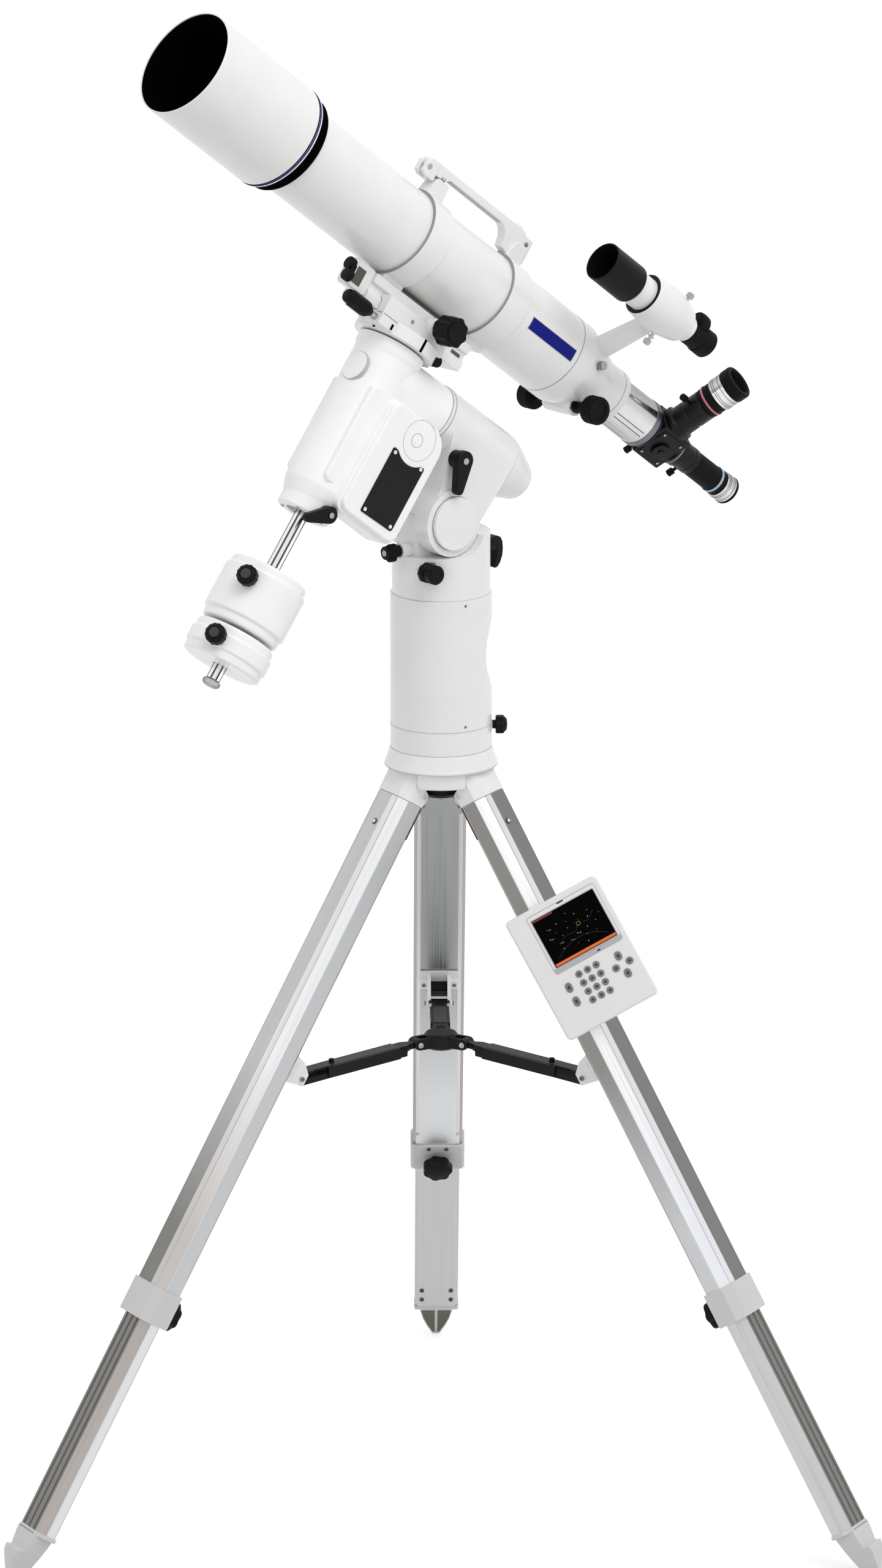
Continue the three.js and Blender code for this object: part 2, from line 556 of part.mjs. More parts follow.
// Geometry here is drawn in the mount's upright frame, with its origin on the latitude axis.
function azimuthBaseGeometry() {
  const base = AZIMUTH_BASE;
  const centre = { x: -LATITUDE_AXIS_X };
  const bottom = PILLAR.top + GAP - LATITUDE_AXIS_Z;
  const hornTop = base.hornTop - LATITUDE_AXIS_Z;
  const drum = rod('z', base.radius, bottom, hornTop, centre);
  const past = 2 * base.radius;
  const lowSide = box(-past, -base.lowSideEdge - LATITUDE_AXIS_X, -past, past,
    base.lowSideTop - LATITUDE_AXIS_Z, past);
  const cheekCuts = [[base.postHalfWidth, past], [-past, -base.postHalfWidth]]
    .map(([from, to]) => rod('y', base.cheekClearRadius, from, to));
  const post = join(
    box(-base.postRadius, base.postRadius, -base.postHalfWidth, base.postHalfWidth, bottom, 0),
    rod('y', base.postRadius, -base.postHalfWidth, base.postHalfWidth),
  );
  const knob = { x: AZIMUTH_KNOB.x - LATITUDE_AXIS_X, z: AZIMUTH_KNOB.z - LATITUDE_AXIS_Z };
  const flatReach = AZIMUTH_KNOB.radius + 1;
  const flat = box(-past, knob.x + flatReach, -past, AZIMUTH_KNOB.flatY,
    knob.z - flatReach, knob.z + flatReach);
  const altitude = { z: ALTITUDE_KNOB.z - LATITUDE_AXIS_Z };
  const boss = rod('x', ALTITUDE_KNOB.bossRadius, altitudeKnobSeat, -base.postRadius + 2, altitude);
  const rim = base.radius - LATITUDE_AXIS_X;
  const bores = [
    rod('y', AZIMUTH_KNOB.stemRadius + GAP, AZIMUTH_KNOB.flatY - 5, AZIMUTH_KNOB.flatY + 12, knob),
    rod('x', ALTITUDE_KNOB.stemRadius + GAP, altitudeKnobSeat - 5, altitudeKnobSeat + 14, altitude),
    rod('x', ALTITUDE_LEVER.stemRadius + GAP, rim - 12, rim + 5, { z: ALTITUDE_LEVER.z - LATITUDE_AXIS_Z }),
    rod('y', base.pinRadius + GAP, -past, past),
  ];
  return cut(join(cut(drum, lowSide, flat, ...cheekCuts), post, boss), ...bores);
}

// A lobed hand screw along +x; the stem reaches back into its seat at x = 0.
function altitudeKnobGeometry() {
  const { neck, length, radius, stemRadius, stemInto } = ALTITUDE_KNOB;
  const head = prism('x', lobedOutline(radius, 3, 5, 6), neck, neck + length);
  return join(rod('x', stemRadius, -stemInto, neck + 1), head);
}

// A stem along +x with a flat handle that hangs down at its end.
function altitudeLeverGeometry() {
  const { stemRadius, stemInto, reach, thickness, halfWidth, above, below } = ALTITUDE_LEVER;
  const tip = reach + thickness;
  const handle = prism('y', [
    [reach - 4, above - 6], [reach + 2, above], [tip - 6, above], [tip, above - 8],
    [tip, -below + 6], [tip - 4, -below], [reach + 2, -below], [reach + 1, -8],
  ], -halfWidth, halfWidth);
  return join(rod('x', stemRadius, -stemInto, reach + 1), handle);
}

// Turns geometry drawn upright about the latitude axis into the polar frame, where z is the polar axis.
function intoPolar(geometry) {
  return geometry.rotateY(rad(90 - LATITUDE));
}

function raHousingGeometry() {
  const h = HOUSING;
  const cheek = rod('y', h.cheekRadius, -h.cheekHalfWidth, h.cheekHalfWidth);
  const cover = rod('y', h.coverRadius, -h.coverHalfWidth, h.coverHalfWidth);
  const [rear, front] = [RA_REAR + RA_TO_DEC, RA_SEAM + RA_TO_DEC - 14];
  const neck = prism('y', [
    [-20, -42], [LATITUDE_TO_RA, rear], [LATITUDE_TO_RA, front], [30, 44], [-20, 42],
  ], -h.neckHalfWidth, h.neckHalfWidth);
  const barrel = rod('z', h.barrelRadius, rear, RA_SEAM + RA_TO_DEC, { x: LATITUDE_TO_RA });
  const side = AZIMUTH_BASE.postHalfWidth + 2 * GAP;
  const reach = 2 * h.cheekRadius;
  const rise = reach * Math.tan(rad(HOUSING.slotOpening));
  const underside = prism('y', [
    [-reach, -reach], [reach, -reach], [reach, rise], [0, 0], [-reach, rise],
  ], -side, side);
  const postSlot = join(rod('y', h.webClearRadius, -side, side), intoPolar(underside));
  const bore = rod('z', h.boreRadius, rear - 5, RA_SEAM + RA_TO_DEC + 5, { x: LATITUDE_TO_RA });
  const recess = rod('z', POLAR_COVER.spigotRadius + 2 * GAP, rear - 5, rear + POLAR_COVER.spigotLength + 1,
    { x: LATITUDE_TO_RA });
  const body = cut(join(cheek, cover, neck, barrel), postSlot, bore, recess);
  return join(body, rod('y', AZIMUTH_BASE.pinRadius, -side - 2, side + 2));
}

// A flat clamp lever on a face that looks along -y: its hub is at the origin and it points along -x.
// The face lies at y = seat, so that the lever can swing clear of whatever stands out beside its hub.
function clampLeverGeometry(length, seat, hubRadius, depth = 12) {
  const arm = prism('y', [
    [0, -hubRadius * 0.7], [0, hubRadius * 0.7], [-length, 7], [-length - 4, 0], [-length, -7],
  ], -depth - 2, -4);
  return join(rod('y', hubRadius, -depth, seat - GAP), arm, rod('y', 5, -depth - 6, -depth + 1));
}

function polarCoverGeometry() {
  const { length, endRadius, wall, spigotRadius, spigotLength } = POLAR_COVER;
  const radius = HOUSING.barrelRadius;
  const lip = spigotRadius - wall;
  return turned('z', [
    [0, -length], [endRadius - 3, -length], [endRadius, -length + 4], [radius - 1, -10], [radius, -GAP],
    [spigotRadius, -GAP], [spigotRadius, spigotLength], [lip, spigotLength], [lip, -10],
    [endRadius - wall, -length + wall + 4], [0, -length + wall + 4],
  ]);
}

function raShaftGeometry() {
  const { radius, bore, flangeRadius, flangeThickness } = RA_SHAFT;
  return turned('z', [
    [radius, RA_REAR + 20], [radius, RA_SEAM], [radius, RA_SEAM + GAP * 2],
    [flangeRadius, RA_SEAM + GAP * 2], [flangeRadius, RA_SEAM + GAP * 2 + flangeThickness],
    [bore, RA_SEAM + GAP * 2 + flangeThickness], [bore, RA_REAR + 20],
  ]);
}

// ---------------------------------------------------------------- mount: declination body
// Geometry here has its origin where the tube axis crosses the declination axis: x along the declination
// axis away from the counterweights, z along the tube towards the sky.

function decHousingGeometry() {
  const d = DEC;
  const raStart = RA_SEAM + 2 * GAP;
  const barrel = turned('x', [
    [0, d.end], [d.flangeRadius, d.end], [d.flangeRadius, d.barrelEnd - 16], [d.barrelRadius, d.barrelEnd],
    [d.barrelRadius, d.top - 20], [d.neckRadius, d.top - 14], [d.neckRadius, d.top], [0, d.top],
  ]);
  const raBody = rod('z', d.raRadius, raStart, 0, { x: -DEC_TO_TUBE });
  const block = box(d.blockBottom, d.blockTop, -d.blockHalfWidth, d.blockHalfWidth,
    d.blockRear, d.blockFront);
  const motor = box(d.motorBottom, d.motorTop, d.motorOuter, d.motorInner, d.motorRear, d.motorFront);
  const cap = rod('y', d.capRadius, d.motorOuter - d.capDepth, d.motorInner, { x: d.capD, z: d.capU });
  const barrelClear = rod('z', HOUSING.barrelRadius + 2, d.blockRear - 40, raStart, { x: -DEC_TO_TUBE });
  const flangePocket = rod('z', RA_SHAFT.flangeRadius + GAP, raStart - 5,
    raStart + RA_SHAFT.flangeThickness + GAP, { x: -DEC_TO_TUBE });
  const bore = rod('x', d.boreRadius, d.end - 5, d.top + 5);
  return cut(join(barrel, raBody, block, motor, cap), barrelClear, flangePocket, bore);
}

function decShaftGeometry() {
  const { radius, bore, end } = DEC_SHAFT;
  const collar = DEC.neckRadius - 4;
  return turned('x', [
    [radius, end], [radius, DEC.top + GAP], [collar, DEC.top + GAP], [collar, SADDLE.bottom - GAP / 2],
    [bore, SADDLE.bottom - GAP / 2], [bore, end],
  ]);
}

function counterweightBarGeometry() {
  const { radius, start, end, threadRadius, threadLength } = BAR;
  return turned('x', [
    [0, end - threadLength], [threadRadius, end - threadLength], [threadRadius, end], [radius, end],
    [radius, start], [0, start],
  ]);
}

function barStopGeometry() {
  const { stopRadius, stopLength, threadRadius, threadLength, end } = BAR;
  const [near, far] = [end - GAP, end - GAP - stopLength];
  const cup = end - threadLength - GAP;
  return turned('x', [
    [0, far], [stopRadius - 2, far], [stopRadius, far + 2], [stopRadius, near],
    [threadRadius + GAP, near], [threadRadius + GAP, cup], [0, cup],
  ]);
}

function weightGeometry({ start, end, radius, step, knob }) {
  const inner = BAR.radius + 2 * GAP;
  const body = turned('x', [
    [inner, end], [radius - step - 3, end], [radius - step, end + 3], [radius - step, end + 12],
    [radius, end + 14], [radius, start - 14], [radius - step, start - 12], [radius - step, start - 3],
    [radius - step - 3, start], [inner, start],
  ]);
  const bore = rod('z', WEIGHT_KNOB.stemRadius + GAP, 0, radius + 10, { x: knob });
  return cut(body, bore.rotateX(rad(WEIGHT_KNOB.azimuth)));
}

function weightKnobGeometry() {
  const { radius, length, stemRadius } = WEIGHT_KNOB;
  const seat = WEIGHT_LARGE.radius;
  const stemEnd = BAR.radius + 3 * GAP;
  const head = prism('z', lobedOutline(radius, 6, 2.5), seat + 3, seat + 3 + length);
  return join(head, rod('z', stemRadius, stemEnd, seat + 5));
}

// ---------------------------------------------------------------- saddle, dovetail and tube rings

function saddleGeometry() {
  const s = SADDLE;
  const disc = rod('x', s.discRadius, s.bottom, s.discTop);
  const body = box(s.discTop - 1, s.top, -s.halfWidth, s.halfWidth, s.rear, s.front);
  const lockBoss = box(s.bottom + 2, s.discTop + 1, -s.halfWidth, -10, 20, s.front);
  const knobPlace = { x: SADDLE_KNOB.d, z: SADDLE_KNOB.u };
  const boss = rod('y', s.bossRadius, -s.halfWidth - 4, -s.jawInner, knobPlace);
  const channel = prism('z', [
    [s.floor, -s.jawInner], [s.lipBottom, -s.jawInner],
    [s.lipBottom + 6, -s.lipInner], [s.top + 1, -s.lipInner],
    [s.top + 1, s.lipInner], [s.lipBottom + 6, s.lipInner],
    [s.lipBottom, s.jawInner], [s.floor, s.jawInner],
  ], s.rear - 5, s.front + 5);
  const knobBore = rod('y', SADDLE_KNOB.stemRadius + GAP, -s.halfWidth - 10, -s.jawInner - 4, knobPlace);
  const lockBore = rod('z', LOCK_KNOB.stemRadius + GAP, s.front - LOCK_KNOB.stemLength - 4, s.front + 5,
    { x: LOCK_KNOB.d, y: LOCK_KNOB.y });
  return cut(join(cut(join(disc, body, lockBoss), channel), boss), knobBore, lockBore);
}

function saddleKnobGeometry() {
  const { radius, length, stemRadius, stemLength } = SADDLE_KNOB;
  const seat = -SADDLE.halfWidth - 4 - GAP;
  const head = prism('y', lobedOutline(radius, 8, 3), seat - stemLength - length, seat - stemLength);
  return join(
    head,
    rod('y', stemRadius + 5, seat - stemLength - 1, seat),
    rod('y', stemRadius, seat - 1, -SADDLE.jawInner - 5),
  );
}

function lockKnobGeometry() {
  const { radius, length, stemRadius, stemLength } = LOCK_KNOB;
  const start = stemLength;
  const grip = new THREE.CylinderGeometry(radius, radius * 0.86, length, 8);
  return join(
    TURN_TO.z(grip).translate(0, 0, start + length / 2),
    rod('z', stemRadius, -LOCK_KNOB.stemLength, start + 1),
  );
}

function dovetailGeometry() {
  const { halfWidth, neckHalfWidth, top, rear, front } = DOVETAIL;
  const bottom = SADDLE.floor + GAP;
  const shoulder = SADDLE.lipBottom - 2 * GAP;
  return prism('z', [
    [bottom, -halfWidth], [shoulder, -halfWidth],
    [shoulder + 6, -neckHalfWidth], [SADDLE.top + 1, -neckHalfWidth],
    [SADDLE.top + 4, -halfWidth], [top, -halfWidth], [top, halfWidth], [SADDLE.top + 4, halfWidth],
    [SADDLE.top + 1, neckHalfWidth], [shoulder + 6, neckHalfWidth],
    [shoulder, halfWidth], [bottom, halfWidth],
  ], rear, front);
}

function tubeRingGeometry() {
  const { width, thickness, footHalfWidth, lugHalfWidth, lugTop } = RING;
  const inner = TUBE_RADIUS + 2 * GAP;
  const outer = inner + thickness;
  const foot = box(DOVETAIL.top + GAP, -inner + 3, -footHalfWidth, footHalfWidth, -width / 2, width / 2);
  const lug = box(inner, lugTop, -lugHalfWidth, lugHalfWidth, -width / 2 + 4, width / 2 - 4);
  const ring = join(rod('z', outer, -width / 2, width / 2), foot, lug);
  return cut(ring, rod('z', inner, -width, width));
}

function handleGeometry() {
  const { front, rear, bottom, top, halfWidth, footLength } = HANDLE;
  const seat = RING.lugTop + GAP;
  const bar = box(bottom, top, -halfWidth, halfWidth, rear, front);
  const reach = footLength / 2;
  const feet = [RING_FRONT_CENTRE, RING_REAR_CENTRE]
    .map((centre) => box(seat, bottom + 2, -halfWidth, halfWidth, centre - reach, centre + reach));
  return join(bar, ...feet);
}

// ---------------------------------------------------------------- optical tube

function mainTubeGeometry() {
  return pipe('z', TUBE_RADIUS, TUBE_WALL, TUBE_REAR, TUBE_FRONT);
}

const lensRear = DEW_SHIELD.rear + CELL.frontReach - CELL.lensThickness - 4;

function objectiveCellGeometry() {
  const seat = TUBE_RADIUS - TUBE_WALL - GAP;
  const bore = CELL.lensRadius + GAP;
  const collar = DEW_SHIELD.radius - DEW_SHIELD.wall - GAP;
  const front = DEW_SHIELD.rear + CELL.frontReach;
  return turned('z', [
    [seat, TUBE_FRONT - CELL.seatLength], [seat, TUBE_FRONT + GAP], [CELL.radius, TUBE_FRONT + GAP],
    [CELL.radius, DEW_SHIELD.rear - 2], [collar, DEW_SHIELD.rear], [collar, front], [bore, front],
    [bore, lensRear], [bore - CELL.lip, lensRear], [bore - CELL.lip, TUBE_FRONT - CELL.seatLength],
  ]);
}

function objectiveLensGeometry() {
  const rear = lensRear + GAP;
  const front = rear + CELL.lensThickness;
  const radius = CELL.lensRadius;
  return turned('z', [
    [0, rear], [radius * 0.5, rear + 0.8], [radius, rear + 2.2], [radius, front - 3],
    [radius * 0.6, front - 0.9], [0, front],
  ]);
}

function dewShieldGeometry() {
  return pipe('z', DEW_SHIELD.radius, DEW_SHIELD.wall, DEW_SHIELD.rear, DEW_SHIELD.front);
}

// The outside of the focuser's cone, from its rear rim to the main tube.
function coneOutline(grow) {
  const start = TUBE_REAR - GAP;
  const { coneEnd, rearRadius } = FOCUSER;
  return [
    [rearRadius + grow, coneEnd], [rearRadius + 1 + grow, coneEnd + 40], [TUBE_RADIUS + grow, start - 32],
    [TUBE_RADIUS + grow, start],
  ];
}

function focuserBodyGeometry() {
  const f = FOCUSER;
  const seat = TUBE_RADIUS - TUBE_WALL - GAP;
  const start = TUBE_REAR - GAP;
  const bore = DRAW_TUBE.radius + 2 * GAP;
  const body = turned('z', [
    [bore, f.coneEnd], ...coneOutline(0), [seat, start], [seat, start + f.spigot],
    [seat - f.wall, start + f.spigot], [seat - f.wall, start - 30], [bore, start - 44],
  ]);
  const gearbox = rod('y', f.pinionHousingRadius, -f.pinionHousingHalfWidth, f.pinionHousingHalfWidth,
    { x: f.pinionD, z: f.pinionU });
  const tubeClear = rod('z', bore, f.coneEnd - 5, start + f.spigot + 5);
  const shaftBore = rod('y', FOCUS_KNOB.shaftRadius + GAP, -80, 80, { x: f.pinionD, z: f.pinionU });
  const pinionPocket = rod('y', f.pinionRadius + GAP, -10, 10, { x: f.pinionD, z: f.pinionU });
  return cut(join(body, gearbox), tubeClear, shaftBore, pinionPocket);
}

function focusKnobsGeometry() {
  const { radius, length, shaftRadius, inner } = FOCUS_KNOB;
  const wheels = [-1, 1].map((side) => {
    const [from, to] = side < 0 ? [-inner - length, -inner] : [inner, inner + length];
    return prism('y', lobedOutline(radius, 12, 1.2, 2), from, to);
  });
  const pinion = rod('y', FOCUSER.pinionRadius - 1, -8, 8);
  return join(rod('y', shaftRadius, -inner - 2, inner + 2), pinion, ...wheels);
}

function drawTubeGeometry() {
  const { radius, wall, front, rear, rackHalfWidth, rackDepth, rackFromRear } = DRAW_TUBE;
  const tube = pipe('z', radius, wall, rear + GAP, front);
  const rackSlot = box(-radius - 5, -radius + rackDepth, -rackHalfWidth, rackHalfWidth,
    rear + rackFromRear, front + 5);
  return cut(tube, rackSlot);
}

// The box that sends the light straight on or up to the top eyepiece; drawn with x towards that eyepiece.
function mirrorBoxGeometry() {
  const { front, rear, halfWidth, halfDepth, wall, boreRadius, neckRadius, neckLength } = BOX;
  const face = front - neckLength;
  const shell = prism('z', roundedRectangle(halfWidth, halfDepth, 4), rear, face, 2);
  const adapter = rod('z', neckRadius, face - 1, front);
  const inside = box(-halfWidth + wall, halfWidth - wall, -halfDepth + wall, halfDepth - wall,
    rear + wall, face - wall);
  const rearNeck = rod('z', EYEPIECE_REAR.holderRadius, rear - EYEPIECE_REAR.holderLength, rear + 1);
  const topNeck = rod('x', EYEPIECE_TOP.holderRadius, halfWidth - 1, halfWidth + EYEPIECE_TOP.holderLength,
    { z: EYEPIECE_TOP.u });
  const barrelBore = EYEPIECE_REAR.barrelRadius + GAP;
  return cut(
    join(shell, adapter, rearNeck, topNeck),
    inside,
    rod('z', boreRadius, face - 10, front + 5),
    rod('z', barrelBore, rear - EYEPIECE_REAR.holderLength - 5, rear + 10),
    rod('x', barrelBore, halfWidth - 10, halfWidth + EYEPIECE_TOP.holderLength + 5, { z: EYEPIECE_TOP.u }),
  );
}

// An eyepiece along +z with its barrel reaching down into the holder, whose rim is at z = 0.
function eyepieceGeometry(radius, length) {
  const { barrelRadius, barrelLength } = EYEPIECE_REAR;
  const bore = barrelRadius - 2.5;
  return turned('z', [
    [bore, -barrelLength], [barrelRadius, -barrelLength], [barrelRadius, GAP], [radius - 2, GAP],
    [radius, 4], [radius, length * 0.6], [radius - 3, length * 0.64], [radius - 3, length - 4],
    [radius - 5, length], [bore - 1, length], [bore - 1, length - 10], [bore, length - 14],
  ]);
}

function finderGeometry() {
  const f = FINDER;
  const bore = f.tubeRadius - f.wall;
  return turned('z', [
    [bore, f.tubeRear], [f.tubeRadius - 3, f.tubeRear], [f.tubeRadius - 2, f.tubeRear + 30],
    [f.tubeRadius, f.tubeRear + 34], [f.tubeRadius, f.hoodRear - 14], [f.hoodRadius, f.hoodRear],
    [f.hoodRadius, f.hoodFront], [f.hoodRadius - f.wall, f.hoodFront],
    [f.hoodRadius - f.wall, f.hoodRear + 2], [bore, f.hoodRear - 12],
  ]);
}

// Drawn with x from the tube axis out to the finder.
function finderBracketGeometry() {
  const f = FINDER;
  const inner = f.tubeRadius + f.ringClearance;
  const outer = inner + f.ringThickness;
  const centre = { x: f.offset };
  const ring = cut(
    rod('z', outer, f.ringRear, f.ringFront, centre),
    rod('z', inner, f.ringRear - 5, f.ringFront + 5, centre),
  );
  const coneClear = turned('z', [[0, FOCUSER.coneEnd], ...coneOutline(2 * GAP), [0, TUBE_REAR - GAP]]);
  const arm = cut(box(0, f.offset - inner - 1, -f.armHalfWidth, f.armHalfWidth,
    f.armU - f.armHalfLength, f.armU + f.armHalfLength), coneClear);
  const pads = [0, 1, 2].map((i) => {
    const screw = rod('x', f.screwRadius, f.tubeRadius + GAP, outer + f.screwReach,
      { z: (f.ringFront + f.ringRear) / 2 });
    return screw.rotateZ(rad(60 + 120 * i)).translate(f.offset, 0, 0);
  });
  return join(ring, arm, ...pads);
}

function buildTube(parent) {
  piece(parent, 'main_tube', 'whitePaint', mainTubeGeometry());
  piece(parent, 'dew_shield', 'whitePaint', dewShieldGeometry());
  piece(parent, 'objective_cell', 'blackPaint', objectiveCellGeometry());
  piece(parent, 'objective_lens', 'glass', objectiveLensGeometry());
  piece(parent, 'focuser_body', 'whitePaint', focuserBodyGeometry());
  const pinion = joint(parent, 'focus_axis', FOCUSER.pinionD, 0, FOCUSER.pinionU);
  piece(pinion, 'focus_knobs', 'blackRubber', focusKnobsGeometry());
  piece(parent, 'draw_tube', 'brightMetal', drawTubeGeometry());

  const mirror = joint(parent, 'mirror_box_turn');
  mirror.rotation.z = rad(-BOX.turn);
  piece(mirror, 'flip_mirror_box', 'blackPaint', mirrorBoxGeometry());
  const rear = joint(mirror, 'eyepiece_rear_axis', 0, 0, BOX.rear - EYEPIECE_REAR.holderLength);
  rear.rotation.x = Math.PI;
  piece(rear, 'eyepiece_rear', 'blackRubber', eyepieceGeometry(EYEPIECE_REAR.radius, EYEPIECE_REAR.length));
  const topRim = BOX.halfWidth + EYEPIECE_TOP.holderLength;
  const top = joint(mirror, 'eyepiece_top_axis', topRim, 0, EYEPIECE_TOP.u);
  top.rotation.y = Math.PI / 2;
  piece(top, 'eyepiece_top', 'blackRubber', eyepieceGeometry(EYEPIECE_TOP.radius, EYEPIECE_TOP.length));

  const finder = joint(parent, 'finder_turn');
  finder.rotation.z = rad(-FINDER.angle);
  piece(finder, 'finder_bracket', 'whitePaint', finderBracketGeometry());
  const sight = joint(finder, 'finder_axis', FINDER.offset, 0, 0);
  piece(sight, 'finder_scope', 'whitePaint', finderGeometry());
}

function buildDeclination(parent) {
  piece(parent, 'dec_shaft', 'greyMetal', decShaftGeometry());
  piece(parent, 'counterweight_bar', 'brightMetal', counterweightBarGeometry());
  piece(parent, 'counterweight_bar_stop', 'brightMetal', barStopGeometry());
  const weights = [['large', WEIGHT_LARGE], ['small', WEIGHT_SMALL]];
  for (const [size, weight] of weights) {
    piece(parent, `counterweight_${size}`, 'whitePaint', weightGeometry(weight));
    const knob = joint(parent, `counterweight_knob_axis_${size}`, weight.knob, 0, 0);
    knob.rotation.x = rad(WEIGHT_KNOB.azimuth);
    piece(knob, `counterweight_knob_${size}`, 'blackPlastic', weightKnobGeometry());
  }
  piece(parent, 'saddle', 'whitePaint', saddleGeometry());
  const clamp = joint(parent, 'saddle_clamp_axis', SADDLE_KNOB.d, 0, SADDLE_KNOB.u);
  piece(clamp, 'saddle_clamp_knob', 'blackPlastic', saddleKnobGeometry());
  const lock = joint(parent, 'saddle_lock_axis', LOCK_KNOB.d, LOCK_KNOB.y, SADDLE.front);
  piece(lock, 'saddle_lock_knob', 'blackPlastic', lockKnobGeometry());

  const balance = joint(parent, 'balance_axis');
  piece(balance, 'dovetail_bar', 'whitePaint', dovetailGeometry());
  piece(balance, 'tube_ring_front', 'whitePaint', tubeRingGeometry()).position.z = RING_FRONT_CENTRE;
  piece(balance, 'tube_ring_rear', 'whitePaint', tubeRingGeometry()).position.z = RING_REAR_CENTRE;
  piece(balance, 'carry_handle', 'whitePaint', handleGeometry());
  buildTube(joint(balance, 'tube_axis'));
}

function buildMount(parent) {
  const azimuth = joint(parent, 'azimuth_axis');
  azimuth.rotation.z = rad(MOUNT_AZIMUTH);
  const upright = joint(azimuth, 'latitude_axis', LATITUDE_AXIS_X, 0, LATITUDE_AXIS_Z);
  piece(upright, 'azimuth_base', 'whitePaint', azimuthBaseGeometry());

  const knob = joint(upright, 'azimuth_knob_axis', AZIMUTH_KNOB.x - LATITUDE_AXIS_X, AZIMUTH_KNOB.flatY,
    AZIMUTH_KNOB.z - LATITUDE_AXIS_Z);
  piece(knob, 'azimuth_knob', 'blackPlastic', plainKnobGeometry('y', -1, AZIMUTH_KNOB, 0, 8));
  const left = joint(upright, 'altitude_knob_axis', altitudeKnobSeat, 0, ALTITUDE_KNOB.z - LATITUDE_AXIS_Z);
  left.rotation.z = Math.PI;
  piece(left, 'altitude_knob', 'blackPlastic', altitudeKnobGeometry());
  const right = joint(upright, 'altitude_lever_axis', AZIMUTH_BASE.radius - LATITUDE_AXIS_X, 0,
    ALTITUDE_LEVER.z - LATITUDE_AXIS_Z);
  piece(right, 'altitude_lever', 'blackPlastic', altitudeLeverGeometry());

  const polar = joint(upright, 'polar_turn');
  polar.rotation.y = -rad(90 - LATITUDE);
  piece(polar, 'ra_housing', 'whitePaint', raHousingGeometry());
  const raLever = joint(polar, 'ra_lever_axis', RA_LEVER.d, -HOUSING.cheekHalfWidth, RA_LEVER.u);
  raLever.rotation.y = rad(RA_LEVER.turn);
  piece(raLever, 'ra_clamp_lever', 'blackPlastic', clampLeverGeometry(
    RA_LEVER.length, HOUSING.cheekHalfWidth - HOUSING.neckHalfWidth, 14));
  const cover = joint(polar, 'polar_cover_axis', LATITUDE_TO_RA, 0, RA_REAR + RA_TO_DEC);
  piece(cover, 'polar_scope_cover', 'whitePaint', polarCoverGeometry());

  const ra = joint(polar, 'ra_axis', LATITUDE_TO_RA, 0, RA_TO_DEC);
  piece(ra, 'ra_shaft', 'greyMetal', raShaftGeometry());
  const dec = joint(ra, 'dec_axis', DEC_TO_TUBE, 0, 0);
  piece(dec, 'dec_housing', 'whitePaint', decHousingGeometry());
  const decLever = joint(dec, 'dec_lever_axis', DEC_LEVER.d, -DEC.flangeRadius, DEC_LEVER.u);
  decLever.rotation.y = rad(DEC_LEVER.turn);
  piece(decLever, 'dec_clamp_lever', 'blackPlastic', clampLeverGeometry(DEC_LEVER.length, 0, 12));
  buildDeclination(dec);
}

// ---------------------------------------------------------------- hand controller on the right leg

function controllerGeometry() {
  const { width, height, depth, corner, screenWidth, screenHeight } = CONTROLLER;
  const body = prism('z', roundedRectangle(width / 2, height / 2, corner), 0, depth, 4);
  const screen = box(-screenWidth / 2, screenWidth / 2, 12, 12 + screenHeight, depth - 1.5, depth + 5);
  return cut(body, screen);
}

// The holder stands behind and below the controller, and its arm ends on the leg behind it.
function holderGeometry(legBlank) {
  const { height, depth, holderGap } = CONTROLLER;
  const { halfWidth, thickness, armBottom, armTop, armSide, armReach } = HOLDER;
  const low = -height / 2;
  const rear = -holderGap - thickness;
  const back = box(-halfWidth, halfWidth, low - holderGap - 1, low + HOLDER.height, rear, -holderGap);
  const shelf = box(-halfWidth, halfWidth, low - thickness, low - holderGap, rear, depth * 0.6);
  const arm = box(-halfWidth + 4, armSide, armBottom, armTop, rear - armReach, rear + 1);
  return join(back, shelf, cut(arm, legBlank));
}

function buildController(parent, leg) {
  const place = joint(parent, 'controller_axis', CONTROLLER.x, CONTROLLER.y, CONTROLLER.z);
  place.rotation.set(rad(90 - CONTROLLER.lean), 0, 0);
  const face = joint(place, 'controller_turn', 0, 0, -CONTROLLER.depth);
  face.rotation.z = rad(CONTROLLER.turn);
  parent.updateMatrixWorld(true);
  const fromLeg = face.matrixWorld.clone().invert().multiply(leg.matrixWorld);
  const legBlank = prism('z', legSection(GAP), -LEG.collarStart, -LEG.castingEnd).applyMatrix4(fromLeg);
  piece(face, 'hand_controller', 'whitePaint', controllerGeometry());
  piece(face, 'controller_holder', 'blackPlastic', holderGeometry(legBlank));
}

// ---------------------------------------------------------------- the whole telescope

const telescope = new THREE.Group();
telescope.name = 'telescope_on_tripod';
buildTripod(telescope);
buildPillar(telescope);
buildMount(telescope);
buildController(telescope, telescope.getObjectByName('leg_axis_right'));

telescope.updateMatrixWorld(true);
const extent = new THREE.Box3().setFromObject(telescope, true);
const middle = extent.getCenter(new THREE.Vector3());
telescope.position.set(-middle.x, -middle.y, -extent.min.z);

export default telescope;
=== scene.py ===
"""Telescope on tripod: the finished look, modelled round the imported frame."""

import json
import math

import bmesh
import bpy
from bpy.props import FloatProperty, FloatVectorProperty, PointerProperty
from mathutils import Matrix, Vector


